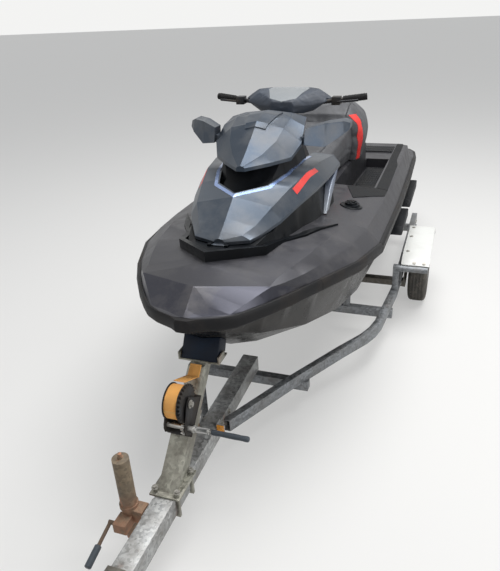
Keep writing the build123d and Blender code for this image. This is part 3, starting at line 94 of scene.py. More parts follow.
def startFinish(name, spec):
    mat = bpy.data.materials.new(name)
    mat.use_nodes = True
    shader = mat.node_tree.nodes["Principled BSDF"]
    for label, key, default in (("Metallic", "metal", 0.0), ("Roughness", "rough", 0.5),
                                ("Coat Weight", "coat", 0.0),
                                ("Coat Roughness", "coatRough", 0.1), ("Specular IOR Level", "shine", 0.5)):
        shader.inputs[label].default_value = spec.get(key, default)
    return mat, shader, addNode(mat.node_tree, "ShaderNodeTexCoord").outputs["Object"]


# a level moved from least..most to low..high
def spread(tree, level, low, high, least=0.0, most=1.0):
    reach = addNode(tree, "ShaderNodeMapRange",
                    {"Value": level, "From Min": least, "From Max": most, "To Min": low, "To Max": high})
    return reach.outputs["Result"]


def noise(tree, coords, scale, detail, more={}):
    inputs = {"Vector": coords, "Scale": scale, "Detail": detail, **more}
    return addNode(tree, "ShaderNodeTexNoise", inputs).outputs["Fac"]


# patches: noise from low to high, pushed to 0..1
def cloud(tree, coords, scale, detail, low, high):
    return spread(tree, noise(tree, coords, scale, detail, {"Roughness": 0.6}), 0.0, 1.0, low, high)


def tint(tree, share, first, second):
    return addNode(tree, "ShaderNodeMix", {0: share, 6: first, 7: second}, data_type="RGBA").outputs[2]


def combined(tree, operation, first, second):
    return addNode(tree, "ShaderNodeMath", {0: first, 1: second}, operation=operation).outputs[0]


# one level for each cell
def cellLevel(tree, coords, scale):
    cell = addNode(tree, "ShaderNodeTexVoronoi", {"Vector": coords, "Scale": scale})
    return addNode(tree, "ShaderNodeSeparateColor", {"Color": cell.outputs["Color"]}).outputs["Red"]


def byHeight(tree, coords, low, high, foot, head):
    height = addNode(tree, "ShaderNodeSeparateXYZ", {"Vector": coords}).outputs["Z"]
    return spread(tree, height, foot, head, low, high)


def addBump(tree, shader, height, depth, before=None):
    bump = addNode(tree, "ShaderNodeBump", {"Height": height, "Distance": depth, "Strength": 1.0})
    if before:
        tree.links.new(before, bump.inputs["Normal"])
    tree.links.new(bump.outputs["Normal"], shader.inputs["Normal"])
    return bump.outputs["Normal"]


def addGrain(tree, shader, coords, spec):
    inputs = {"Vector": coords, "Scale": spec["grain"]}
    grain = addNode(tree, "ShaderNodeTexVoronoi", inputs, feature="SMOOTH_F1")
    return addBump(tree, shader, grain.outputs["Distance"], spec["depth"])


def shade(tree, shader, colour, rough=None):
    tree.links.new(colour, shader.inputs["Base Color"])
    if rough:
        tree.links.new(rough, shader.inputs["Roughness"])


# metallic lacquer: flakes, a thin film of dust and faint orange peel
def paintFinish(tree, shader, coords, spec):
    flake = cellLevel(tree, coords, spec["flake"])
    colour = tint(tree, spread(tree, flake, 0.0, spec["sparkle"]), spec["tone"], spec["light"])
    dust = cloud(tree, coords, spec["dustScale"], 5.0, 0.46, 0.66)
    colour = tint(tree, spread(tree, dust, 0.0, spec["dust"]), colour, spec["dustTone"])
    shade(tree, shader, colour, spread(tree, dust, spec["rough"], spec["rough"] + 0.14))
    addBump(tree, shader, noise(tree, coords, 140.0, 2.0), spec["peel"])


# plastic or rubber with a leathery grain, rubbed paler in places
def mouldedFinish(tree, shader, coords, spec):
    worn = cloud(tree, coords, spec["wornScale"], 5.0, 0.45, 0.68)
    colour = tint(tree, spread(tree, worn, 0.0, spec["worn"]), spec["tone"], spec["wornTone"])
    shade(tree, shader, colour, spread(tree, worn, spec["rough"], min(1.0, spec["rough"] + 0.15)))
    addGrain(tree, shader, coords, spec)


# hot-dip zinc: spangles bent out of true, grey weathering, rust in spots and, where asked, at the foot
def zincFinish(tree, shader, coords, spec):
    warp = addNode(tree, "ShaderNodeTexNoise", {"Vector": coords, "Scale": 30.0, "Detail": 2.0}).outputs["Color"]
    shift = addNode(tree, "ShaderNodeVectorMath", {0: warp, 1: (0.02, 0.02, 0.02)}, operation="MULTIPLY")
    moved = addNode(tree, "ShaderNodeVectorMath", {0: coords, 1: shift.outputs["Vector"]}, operation="ADD")
    spangle = cellLevel(tree, moved.outputs["Vector"], spec["spangle"])
    colour = tint(tree, spangle, spec["tone"], spec["light"])
    weather = cloud(tree, coords, 9.0, 6.0, 0.42, 0.62)
    colour = tint(tree, spread(tree, weather, 0.0, spec["weather"]), colour, spec["weatherTone"])
    rust = cloud(tree, coords, spec["rustScale"], 8.0, 0.60, 0.70)
    if "foot" in spec:
        low, high, share = spec["foot"]
        patches = cloud(tree, coords, 24.0, 6.0, 0.3, 0.6)
        foot = combined(tree, "MULTIPLY", patches, byHeight(tree, coords, low, high, share, 0.0))
        rust = combined(tree, "MAXIMUM", rust, foot)
    colour = tint(tree, spread(tree, rust, 0.0, spec["rust"]), colour, spec["rustTone"])
    shade(tree, shader, colour, spread(tree, spangle, spec["rough"] - 0.08, spec["rough"] + 0.16))
    tree.links.new(spread(tree, rust, spec["metal"], 0.1), shader.inputs["Metallic"])
    addBump(tree, shader, noise(tree, coords, 260.0, 4.0), spec["depth"])


# grained vinyl seat cover with soft creases
def coverFinish(tree, shader, coords, spec):
    shade(tree, shader, tint(tree, cloud(tree, coords, 7.0, 4.0, 0.4, 0.65), spec["tone"], spec["faded"]))
    normal = addGrain(tree, shader, coords, spec)
    addBump(tree, shader, noise(tree, coords, 16.0, 5.0, {"Distortion": 0.6}), spec["crease"], normal)


# webbing or carpet: crossed threads with stained patches
def wovenFinish(tree, shader, coords, spec):
    inputs = {"Vector": coords, "Scale": spec["threads"], "Distortion": 0.4}
    threads = [addNode(tree, "ShaderNodeTexWave", inputs, bands_direction=way).outputs["Fac"] for way in "XY"]
    weave = combined(tree, "MULTIPLY", *threads)
    colour = tint(tree, weave, spec["shade"], spec["tone"])
    stain = cloud(tree, coords, spec["stainScale"], 6.0, 0.45, 0.7)
    shade(tree, shader, tint(tree, spread(tree, stain, 0.0, spec["stain"]), colour, spec["stainTone"]))
    addBump(tree, shader, weave, spec["depth"])


# cast or turned metal with fine scratches and dull patches
def metalFinish(tree, shader, coords, spec):
    dull = cloud(tree, coords, spec["dullScale"], 5.0, 0.42, 0.66)
    colour = tint(tree, spread(tree, dull, 0.0, spec["dull"]), spec["tone"], spec["dullTone"])
    shade(tree, shader, colour, spread(tree, dull, spec["rough"], min(1.0, spec["rough"] + 0.25)))
    addBump(tree, shader, noise(tree, coords, spec["grain"], 3.0), spec["depth"])


# ribbed lamp or reflector plastic
def lensFinish(tree, shader, coords, spec):
    inputs = {"Vector": coords, "Scale": spec["prism"]}
    prism = addNode(tree, "ShaderNodeTexVoronoi", inputs, distance="CHEBYCHEV").outputs["Distance"]
    shade(tree, shader, tint(tree, prism, spec["tone"], spec["light"]))
    addBump(tree, shader, prism, spec["depth"])


# paint that goes from one tone at its foot to another at its head
def accentFinish(tree, shader, coords, spec):
    rise = byHeight(tree, coords, spec["low"], spec["high"], 0.0, 1.0)
    mottle = cloud(tree, coords, 18.0, 4.0, 0.35, 0.7)
    colour = tint(tree, rise, spec["tone"], spec["light"])
    colour = tint(tree, spread(tree, mottle, 0.0, 0.35), colour, spec["stainTone"])
    shade(tree, shader, colour, spread(tree, mottle, spec["rough"], spec["rough"] + 0.15))
    addBump(tree, shader, mottle, spec["depth"])


# keys whose values are tones of 0 to 255 a channel
toneKeys = ("tone", "light", "faded", "shade", "dustTone", "wornTone", "weatherTone", "rustTone", "stainTone",
            "dullTone")
paints = {
    "bodyPaint": {"tone": (48, 48, 52), "light": (80, 80, 85), "rough": 0.44, "metal": 0.55, "coat": 0.05,
                  "shine": 0.3, "dust": 0.07, "dustScale": 10.0},
    "hoodPaint": {"tone": (57, 65, 75), "light": (94, 102, 113), "rough": 0.32, "metal": 0.8, "coat": 0.06},
    "nosePaint": {"tone": (48, 49, 56), "light": (78, 78, 87), "rough": 0.32, "metal": 0.8, "coat": 0.06},
    "visorPaint": {"tone": (44, 53, 64), "light": (72, 82, 95), "rough": 0.36, "metal": 0.75, "coat": 0.04},
    "silverPaint": {"tone": (112, 116, 119), "light": (146, 150, 153), "rough": 0.46, "metal": 0.4, "coat": 0.05},
    "hullGloss": {"tone": (16, 15, 15), "light": (30, 28, 26), "rough": 0.26, "metal": 0.0, "coat": 0.0,
                  "shine": 0.22, "dust": 0.06, "dustScale": 9.0},
    "fenderGloss": {"tone": (208, 209, 205), "light": (216, 216, 213), "rough": 0.38, "metal": 0.0, "coat": 0.25},
    "rimPaint": {"tone": (158, 160, 160), "light": (180, 182, 182), "rough": 0.45, "metal": 0.4, "coat": 0.1},
    "decalRed": {"tone": (196, 38, 34), "light": (226, 66, 56), "rough": 0.4, "metal": 0.0, "coat": 0.3},
    "reflective": {"tone": (84, 112, 168), "light": (190, 210, 240), "rough": 0.24, "metal": 0.7, "coat": 0.6},
}
mouldings = {
    "blackTrim": {"tone": (16, 18, 21), "wornTone": (38, 41, 46), "worn": 0.5, "rough": 0.5, "shine": 0.15},
    "wellPlastic": {"tone": (14, 15, 17), "wornTone": (38, 40, 42), "worn": 0.5, "rough": 0.66, "grain": 460.0,
                    "depth": 0.0005},
    "glossTrim": {"tone": (4, 6, 9), "wornTone": (13, 18, 24), "worn": 0.4, "rough": 0.34, "shine": 0.14,
                  "depth": 0.00004},
    "bumperRubber": {"tone": (19, 19, 21), "wornTone": (48, 43, 39), "worn": 0.5, "rough": 0.5},
    "matRubber": {"tone": (40, 41, 43), "wornTone": (80, 78, 75), "worn": 0.28, "rough": 0.82, "grain": 420.0,
                  "depth": 0.0006},
    "gripRubber": {"tone": (20, 20, 21), "wornTone": (52, 50, 49), "worn": 0.4, "rough": 0.7},
    "tyreRubber": {"tone": (74, 72, 69), "wornTone": (128, 122, 112), "worn": 0.35, "rough": 0.88, "grain": 300.0,
                   "wornScale": 26.0},
    "blockRubber": {"tone": (4, 14, 28), "wornTone": (16, 36, 56), "worn": 0.5, "rough": 0.5},
    "greyGrip": {"tone": (70, 76, 82), "wornTone": (112, 116, 118), "worn": 0.5, "rough": 0.5},
    "binPlastic": {"tone": (30, 31, 33), "wornTone": (56, 56, 58), "worn": 0.4, "rough": 0.6},
}
zincs = {
    "zincBar": {"tone": (136, 137, 137), "light": (186, 187, 186), "rust": 0.45, "weather": 0.45, "rustScale": 9.0},
    "zincRail": {"tone": (104, 107, 110), "light": (146, 149, 152), "rust": 0.15, "weather": 0.3},
    "zincDull": {"tone": (84, 82, 78), "light": (118, 115, 108), "rust": 0.6, "weather": 0.6},
    "zincPost": {"tone": (130, 129, 120), "light": (170, 169, 158), "rust": 0.35, "weather": 0.5,
                 "rustScale": 10.0},
    "jackRust": {"tone": (104, 92, 76), "light": (142, 127, 106), "rust": 1.0, "weather": 0.35, "metal": 0.3,
                 "rough": 0.7, "rustTone": (172, 122, 94), "rustScale": 11.0, "foot": (0.19, 0.34, 0.8)},
    "crankRust": {"tone": (86, 70, 58), "light": (112, 94, 78), "rust": 0.7, "weather": 0.4, "metal": 0.4,
                  "rough": 0.65, "rustTone": (140, 92, 66), "rustScale": 20.0},
    "boltZinc": {"tone": (140, 138, 132), "light": (176, 174, 168), "rust": 0.5, "weather": 0.3, "spangle": 300.0},
}
covers = {
    "seatCover": {"tone": (52, 53, 56), "faded": (76, 77, 80)},
    "padCover": {"tone": (27, 34, 45), "faded": (39, 48, 61)},
    "redCover": {"tone": (196, 34, 32), "faded": (222, 60, 52)},
}
metals = {
    "castAluminium": {"tone": (150, 152, 154), "dullTone": (104, 104, 104), "rough": 0.42},
    "polishedSteel": {"tone": (176, 176, 174), "dullTone": (120, 112, 100), "rough": 0.28, "dull": 0.4},
    "darkMetal": {"tone": (33, 34, 37), "dullTone": (62, 55, 48), "rough": 0.46, "metal": 0.6},
    "mirrorGlass": {"tone": (222, 226, 230), "dullTone": (196, 200, 204), "rough": 0.03, "dull": 0.2, "depth": 0.0},
    "engineIron": {"tone": (92, 92, 92), "dullTone": (60, 56, 52), "rough": 0.6},
}
weaves = {
    "strapWebbing": {"tone": (255, 208, 130), "shade": (250, 172, 84), "stainTone": (200, 148, 92), "stain": 0.25},
    "bunkCarpet": {"tone": (56, 56, 58), "shade": (24, 24, 25), "stainTone": (98, 92, 82), "threads": 160.0,
                   "depth": 0.0012},
}
lenses = {
    "redLens": {"tone": (150, 14, 12), "light": (214, 40, 30)},
    "amberLens": {"tone": (190, 110, 14), "light": (236, 168, 48)},
}
usual = {
    "paint": {"shine": 0.5, "coatRough": 0.12, "flake": 1500.0, "sparkle": 0.5, "dust": 0.18,
              "dustTone": (150, 146, 140), "dustScale": 5.0, "peel": 0.00003},
    "moulded": {"coat": 0.0, "shine": 0.2, "grain": 700.0, "depth": 0.00025, "wornScale": 8.0},
    "zinc": {"tone": (96, 92, 87), "light": (138, 133, 126), "rough": 0.5, "metal": 0.75, "spangle": 90.0,
             "weatherTone": (92, 86, 78), "rustTone": (112, 72, 46), "rustScale": 13.0, "depth": 0.0003},
    "cover": {"rough": 0.6, "grain": 900.0, "depth": 0.0002, "crease": 0.003},
    "metal": {"metal": 0.95, "dull": 0.7, "dullScale": 14.0, "grain": 400.0, "depth": 0.0001},
    "woven": {"rough": 0.9, "threads": 220.0, "stainScale": 12.0, "stain": 0.5, "depth": 0.0008},
    "lens": {"rough": 0.14, "coat": 0.6, "prism": 160.0, "depth": 0.0012},
    "accent": {"rough": 0.36, "metal": 0.3, "coat": 0.2, "depth": 0.00006},
}
accents = {"accentPaint": {"tone": (188, 193, 197), "light": (70, 88, 124), "stainTone": (120, 130, 150),
                           "low": 0.93, "high": 1.12}}
finishes = {}
for kind, make, table in (
    ("paint", paintFinish, paints), ("moulded", mouldedFinish, mouldings), ("zinc", zincFinish, zincs),
    ("cover", coverFinish, covers), ("metal", metalFinish, metals), ("woven", wovenFinish, weaves),
    ("lens", lensFinish, lenses), ("accent", accentFinish, accents),
):
    for name, spec in table.items():
        spec = {**usual[kind], **spec}
        spec.update({key: srgb(*spec[key]) for key in toneKeys if key in spec})
        finishes[name], shader, coords = startFinish(name, spec)
        make(finishes[name].node_tree, shader, coords, spec)
print("finishes ready", len(finishes))


def placed(name, data):
    thing = bpy.data.objects.new(name, data)
    bpy.context.scene.collection.objects.link(thing)
    return thing


def wear(mesh, finish):
    mesh.materials.clear()
    mesh.materials.append(finishes[finish])


# a finished piece at the origin, riding on a body, edges past an angle in degrees left crisp
def addPiece(name, mesh, finish, body, slot, replaces=(), crisp=35):
    piece = placed(name, mesh)
    mesh.name = name
    wear(mesh, finish)
    mesh.polygons.foreach_set("use_smooth", [True] * len(mesh.polygons))
    if crisp:
        mesh.set_sharp_from_angle(angle=math.radians(crisp))
    mesh.update()
    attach(piece, body)
    if replaces:
        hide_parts(*replaces)
    return piece


def meshFrom(points, faces=(), edges=()):
    mesh = bpy.data.meshes.new("part")
    mesh.from_pydata([tuple(p) for p in points], edges, faces)
    mesh.update()
    return mesh


def lineMesh(points):
    return meshFrom(points, edges=[(k, k + 1) for k in range(len(points) - 1)])


def meshOf(bm):
    mesh = bpy.data.meshes.new("part")
    bm.to_mesh(mesh)
    bm.free()
    return mesh


# a copy with doubles merged and, where asked, flat faces made whole
def cleaned(source, whole=False, gap=1e-5, flat=0.6):
    bm = bmesh.new()
    bm.from_mesh(source)
    bmesh.ops.remove_doubles(bm, verts=bm.verts, dist=gap)
    if whole:
        bmesh.ops.dissolve_limit(bm, angle_limit=math.radians(flat), verts=bm.verts, edges=bm.edges)
    return meshOf(bm)


# a copy with doubles merged and faces turned outwards
def facedOut(source, gap=1e-6):
    bm = bmesh.new()
    bm.from_mesh(source)
    bmesh.ops.remove_doubles(bm, verts=bm.verts, dist=gap)
    bmesh.ops.recalc_face_normals(bm, faces=bm.faces)
    return meshOf(bm)


# several meshes as one, shapes left apart
def joined(meshes):
    bm = bmesh.new()
    for mesh in meshes:
        bm.from_mesh(mesh)
    return meshOf(bm)


# the mesh and its mirror image across the centre plane
def mirroredToo(mesh):
    other = mesh.copy()
    other.transform(Matrix.Scale(-1, 4, (1, 0, 0)))
    other.flip_normals()
    return joined([mesh, other])


# the mesh after modifiers, each a kind and its settings
def modified(mesh, *stack):
    holder = placed("holder", mesh)
    for kind, settings in stack:
        setAll(holder.modifiers.new(kind, kind), settings)
    bpy.context.view_layer.update()
    seen = holder.evaluated_get(bpy.context.evaluated_depsgraph_get())
    result = bpy.data.meshes.new_from_object(seen)
    bpy.data.objects.remove(holder)
    return result


# edges sharper than an angle rounded to a width in millimetres
def softened(mesh, width, segments=2, angle=28):
    bevel = {"width": width / 1000, "segments": segments, "limit_method": "ANGLE",
             "angle_limit": math.radians(angle), "use_clamp_overlap": True, "miter_outer": "MITER_ARC"}
    return modified(mesh, ("BEVEL", bevel), ("WEIGHTED_NORMAL", {"keep_sharp": True}))


# quads between rows of points, each row a ring unless open, the last row met with the first where closed
def gridFaces(rows, wide, ringed=True, closed=False):
    faces = []
    for k in range(rows if closed else rows - 1):
        n = (k + 1) % rows
        for j in range(wide if ringed else wide - 1):
            i = (j + 1) % wide
            faces.append((k * wide + j, k * wide + i, n * wide + i, n * wide + j))
    return faces


# skin over rings of points, its ends capped
def loftMesh(rings):
    wide = len(rings[0])
    last = wide * (len(rings) - 1)
    caps = [tuple(range(wide)), tuple(range(last, last + wide))]
    return facedOut(meshFrom([p for ring in rings for p in ring], gridFaces(len(rings), wide) + caps))


# sheet through rows of points, given a thickness in millimetres
def sheetMesh(rows, thick):
    faces = gridFaces(len(rows), len(rows[0]), ringed=False)
    sheet = meshFrom([p for row in rows for p in row], faces)
    return facedOut(modified(sheet, ("SOLIDIFY", {"thickness": thick / 1000, "offset": 0})))


# round bar along points
def tubeMesh(points, radius, sides=8):
    rings = []
    for k, p in enumerate(points):
        run = (points[min(k + 1, len(points) - 1)] - points[max(k - 1, 0)]).normalized()
        side = run.cross(Vector((0, 0, 1))).normalized()
        up = side.cross(run)
        turns = [2 * math.pi * j / sides for j in range(sides)]
        rings.append([p + (side * math.cos(a) + up * math.sin(a)) * radius for a in turns])
    return loftMesh(rings)


def boxMesh(low, high):
    plan = [(low[0], low[1]), (high[0], low[1]), (high[0], high[1]), (low[0], high[1])]
    return loftMesh([[(x, y, z) for x, y in plan] for z in (low[2], high[2])])


def uncut(step, x):
    return 0.0


# ring about an axis along x, profile as (radius, x) in millimetres, let in by cut(step, x)
def turnedMesh(profile, centre, sides=48, cut=uncut):
    points = []
    for j in range(sides):
        a = 2 * math.pi * j / sides
        for r, x in profile:
            reach = (r - cut(j, x)) / 1000
            points.append((centre.x + x / 1000, centre.y + math.cos(a) * reach, centre.z + math.sin(a) * reach))
    return facedOut(meshFrom(points, gridFaces(sides, len(profile), closed=True)))


def startTree(name, sizes):
    tree = bpy.data.node_groups.new(name, "GeometryNodeTree")
    for way in ("INPUT", "OUTPUT"):
        tree.interface.new_socket("Geometry", in_out=way, socket_type="NodeSocketGeometry")
    for label, value in sizes.items():
        kind = "NodeSocketInt" if isinstance(value, int) else "NodeSocketFloat"
        tree.interface.new_socket(label, in_out="INPUT", socket_type=kind).default_value = value
    return tree, tree.nodes.new("NodeGroupInput"), tree.nodes.new("NodeGroupOutput")


# an instance on each point, made real and painted
def endTree(tree, end, points, instance, rotation, finish):
    inputs = {"Points": points, "Instance": instance, "Rotation": rotation}
    many = addNode(tree, "GeometryNodeInstanceOnPoints", inputs)
    whole = addNode(tree, "GeometryNodeRealizeInstances", {"Geometry": many.outputs[0]})
    inputs = {"Geometry": whole.outputs[0], "Material": finishes[finish]}
    painted = addNode(tree, "GeometryNodeSetMaterial", inputs)
    tree.links.new(painted.outputs[0], end.inputs[0])
    return tree


def pointsAlong(tree, start):
    line = addNode(tree, "GeometryNodeMeshToCurve", {"Mesh": start.outputs[0]})
    inputs = {"Curve": line.outputs[0], "Count": start.outputs["Count"]}
    return addNode(tree, "GeometryNodeCurveToPoints", inputs, mode="COUNT")


# the mesh that a tree grows on points or lines
def grown(mesh, tree):
    return modified(mesh, ("NODES", {"node_group": tree}))


# hex heads on washers, standing along each point's facing
def boltTree(sizes, finish, washerThick=0.0024):
    tree, start, end = startTree("bolts", sizes)
    facing = addNode(tree, "GeometryNodeInputNamedAttribute", {"Name": "facing"}, data_type="FLOAT_VECTOR")
    turn = addNode(tree, "FunctionNodeAlignRotationToVector", {"Vector": facing.outputs[0]}, axis="Z")
    head = addNode(tree, "GeometryNodeMeshCylinder",
                   {"Vertices": 6, "Radius": start.outputs["Head"], "Depth": start.outputs["Tall"]})
    washer = addNode(tree, "GeometryNodeMeshCylinder",
                     {"Vertices": 20, "Radius": start.outputs["Washer"], "Depth": washerThick})
    lift = addNode(tree, "ShaderNodeCombineXYZ", {"Z": combined(tree, "MULTIPLY", start.outputs["Tall"], 0.5)})
    raised = addNode(tree, "GeometryNodeTransform",
                     {"Geometry": head.outputs["Mesh"], "Translation": lift.outputs[0]})
    both = addNode(tree, "GeometryNodeJoinGeometry", {0: raised.outputs[0]})
    tree.links.new(washer.outputs["Mesh"], both.inputs[0])
    return endTree(tree, end, start.outputs[0], both.outputs[0], turn.outputs[0], finish)


# rounded rings threaded on a line
def ringTree(sizes, finish):
    tree, start, end = startTree("rings", sizes)
    points = pointsAlong(tree, start)
    hoop, section = (
        addNode(tree, "GeometryNodeCurvePrimitiveCircle", {"Resolution": sides, "Radius": start.outputs[label]})
        for sides, label in ((28, "Radius"), (8, "Thick")))
    inputs = {"Curve": hoop.outputs[0], "Profile Curve": section.outputs[0]}
    ring = addNode(tree, "GeometryNodeCurveToMesh", inputs)
    return endTree(tree, end, points.outputs["Points"], ring.outputs[0], points.outputs["Rotation"], finish)


# small blocks set along a line, longer across it than along
def barTree(sizes, finish):
    tree, start, end = startTree("bars", sizes)
    points = pointsAlong(tree, start)
    inputs = {"X": start.outputs["Wide"], "Y": start.outputs["Long"], "Z": start.outputs["Tall"]}
    size = addNode(tree, "ShaderNodeCombineXYZ", inputs)
    block = addNode(tree, "GeometryNodeMeshCube", {"Size": size.outputs[0]})
    turn = addNode(tree, "FunctionNodeAlignRotationToVector", {"Vector": points.outputs["Tangent"]}, axis="X")
    return endTree(tree, end, points.outputs["Points"], block.outputs[0], turn.outputs[0], finish)


# bolts at (point, facing) places, sized by the head's radius and height and the washer's radius in millimetres
def addBolts(name, places, sizes, body=fixedBody):
    mesh = meshFrom([point for point, facing in places])
    facings = mesh.attributes.new("facing", "FLOAT_VECTOR", "POINT")
    facings.data.foreach_set("vector", [c for point, facing in places for c in facing])
    sizes = {label: size / 1000 for label, size in zip(("Head", "Tall", "Washer"), sizes)}
    addPiece(name, grown(mesh, boltTree(sizes, "boltZinc")), "boltZinc", body, "steel")


# several nodes of one body as one skin
def unionOf(names):
    first, *rest = [cleaned(nodes[name].data) for name in names]
    others = [placed("other", mesh) for mesh in rest]
    stack = [("BOOLEAN", {"operation": "UNION", "solver": "EXACT", "object": other}) for other in others]
    result = modified(first, *stack)
    for other in others:
        bpy.data.objects.remove(other)
    return cleaned(result, True, 2e-5)


deckParts = ("deck_bow", "gunwales", "seat_base", "stern_deck")
deckMesh = unionOf(deckParts)
addPiece("deckShell", softened(deckMesh, 7, 3), "bodyPaint", fixedBody, "body_paint", deckParts, 9)
# piece: node, edge width in mm, finish, slot, and for some the angle past which an edge stays crisp
shells = {
    "hullShell": ("hull", 7, "hullGloss", "hull_gel", 24),
    "rubRail": ("bumper", 5, "bumperRubber", "rubber_trim", 24),
    "noseFacets": ("nose_panel", 3, "nosePaint", "nose_paint", 7),
    "cowlShell": ("cowl", 4, "glossTrim", "black_trim", 16),
    "sideAccents": ("accent_strips", 4, "accentPaint", "accent_blue", 30),
    "hoodShell": ("hood", 4, "hoodPaint", "body_paint", 7),
    "visorShell": ("visor", 5, "visorPaint", "visor_paint", 7),
    "gaugePod": ("pod", 6, "blackTrim", "black_trim", 30),
    "mirrorShells": ("mirrors", 5, "visorPaint", "visor_paint", 12),
    "consoleShell": ("console", 8, "blackTrim", "black_trim", 24),
    "gloveLid": ("glovebox_lid", 2, "blackTrim", "black_trim", 30),
    "barAndLevers": ("handlebar", 2, "darkMetal", "metal_dark"),
    "padTop": ("pad_cover", 3, "silverPaint", "accent_silver", 16),
    "rearHandle": ("grab_handle", 4, "blackTrim", "metal_dark"),
    "sponsonPads": ("sponsons", 6, "blackTrim", "black_trim", 24),
    "bucketShell": ("reverse_bucket", 4, "blackTrim", "black_trim"),
    "binLiner": ("bin_tub", 3, "binPlastic", "black_trim", 30),
    "pumpHousing": ("jet_pump", 2, "castAluminium", "aluminium"),
    "steeringNozzle": ("nozzle", 2, "castAluminium", "aluminium"),
    "ridePlate": ("intake_grate", 2, "castAluminium", "aluminium"),
    "drawbarTube": ("drawbar", 4, "zincBar", "galvanised"),
    "portRail": ("rail_port", 4, "zincRail", "galvanised"),
    "starboardRail": ("rail_starboard", 4, "zincRail", "galvanised"),
    "crossBars": ("cross_members", 4, "zincRail", "galvanised"),
    "axleBeam": ("axle", 4, "zincDull", "galvanised"),
    "fenderStays": ("fender_stays", 1.2, "zincRail", "galvanised"),
    "winchPost": ("winch_post", 4, "zincPost", "galvanised"),
    "couplerHead": ("coupler", 4, "zincDull", "galvanised"),
    "fenderSheets": ("fenders", 1.2, "fenderGloss", "fender_white"),
    "bunkBoards": ("bunks", 9, "bunkCarpet", "carpet"),
    "bowStop": ("bow_block", 9, "blockRubber", "block_blue"),
    "winchCheeks": ("winch_frame", 1.2, "darkMetal", "metal_dark"),
    "crankArm": ("winch_crank", 1.0, "polishedSteel", "steel"),
    "jackTube": ("jack", 3, "jackRust", "jack_rust"),
    "jackScrewLeg": ("jack_leg", 2, "jackRust", "jack_rust"),
    "jackCrankBar": ("jack_crank", 1, "crankRust", "jack_rust"),
    "jackCrankGrip": ("jack_grip", 4, "greyGrip", "grip_grey"),
    "lightBoard": ("light_board", 1.5, "fenderGloss", "fender_white"),
    "rimPort": ("rim_port", 2, "rimPaint", "rim_zinc"),
    "rimStarboard": ("rim_starboard", 2, "rimPaint", "rim_zinc"),
    "strapRun": ("strap", 0.8, "strapWebbing", "strap_orange"),
}
for name, (node, width, finish, slot, *crisp) in shells.items():
    mesh = softened(cleaned(nodes[node].data, True), width)
    addPiece(name, mesh, finish, nodes[node]["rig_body"], slot, (node,), *(crisp or [40]))
plainNodes = {
    "mirror_glass": "mirrorGlass", "engine": "engineIron", "impeller": "polishedSteel", "winch_drum": "darkMetal",
    "grips": "gripRubber", "tail_lamps": "redLens", "fuel_cap": "blackTrim",
}
for node, finish in plainNodes.items():
    wear(nodes[node].data, finish)
print("shells dressed", len(shells))


def surfaceOf(mesh):
    bm = bmesh.new()
    bm.from_mesh(mesh)
    tree = BVHTree.FromBMesh(bm)
    bm.free()
    return tree


# where a ray meets a skin, and the face's normal there
def hit(skin, start, direction=(0, 0, -1)):
    return skin.ray_cast(start, Vector(direction))[:2]


# cloth blown out over the foam, then held to a few millimetres of the solid
def puffed(node, spec, steps=20):
    mesh = modified(cleaned(nodes[node].data),
                    ("REMESH", {"mode": "VOXEL", "voxel_size": spec["voxel"] / 1000, "adaptivity": 0}),
                    ("SMOOTH", {"factor": 0.5, "iterations": spec["ease"]}),
                    ("DISPLACE", {"strength": -spec["slim"] / 1000, "mid_level": 0}))
    base = [v.co.copy() for v in mesh.vertices]
    holder = placed("foam", mesh)
    low = min(p.z for p in base) + spec["held"] / 1000
    pinned = holder.vertex_groups.new(name="held")
    pinned.add([k for k, p in enumerate(base) if p.z < low], 1.0, "REPLACE")
    cloth = holder.modifiers.new("cloth", "CLOTH")
    setAll(cloth.settings, {
        "use_pressure": True, "uniform_pressure_force": spec["pressure"], "tension_stiffness": 30,
        "compression_stiffness": 30, "bending_stiffness": 2, "vertex_group_mass": "held", "quality": 4})
    cloth.settings.effector_weights.gravity = 0
    cloth.collision_settings.use_collision = False
    for step in range(1, steps + 1):
        bpy.context.scene.frame_set(step)
    seen = holder.evaluated_get(bpy.context.evaluated_depsgraph_get())
    blown = [v.co.copy() for v in seen.data.vertices]
    bpy.data.objects.remove(holder)
    bpy.context.scene.frame_set(1)
    reach = spec["reach"] / 1000
    for v, old, new in zip(mesh.vertices, base, blown):
        move = new - old
        v.co = old + (move * (reach / move.length) if move.length > reach else move)
    mesh.update()
    return modified(mesh, ("SMOOTH", {"factor": 0.5, "iterations": 2}),
                    ("SUBSURF", {"levels": 1, "render_levels": 1}))


# distance from a seam straight across, none below a height
def crossSeam(station, lowest):
    place = bowY + station / 1000
    return lambda co: abs(co.y - place) if co.z > lowest / 1000 else None


# distance from a seam along both sides of the seat's top, x by station
def panelSeam(table, lowest, beyond=20):
    def away(co):
        station = (co.y - bowY) * 1000
        if co.z < lowest / 1000 or not table[0][0] - beyond < station < table[-1][0] + beyond:
            return None
        for (s0, x0), (s1, x1) in zip(table, table[1:]):
            if station <= s1:
                return abs(abs(co.x) - (x0 + (x1 - x0) * (station - s0) / (s1 - s0)) / 1000)
        return None
    return away


# channels pressed in along seams, sizes in metres
def sewn(mesh, spec, wide=0.006, panelDeep=0.005, crossDeep=0.004):
    seams = [(panelSeam(spec["seam"], spec["seamLow"]), panelDeep)]
    seams += [(crossSeam(*place), crossDeep) for place in spec["crossings"]]
    for v in mesh.vertices:
        for away, deep in seams:
            d = away(v.co)
            if d is not None and d < wide * 2.5:
                v.co -= v.normal * deep * math.exp(-(d / wide) ** 2)
    mesh.update()
    return mesh


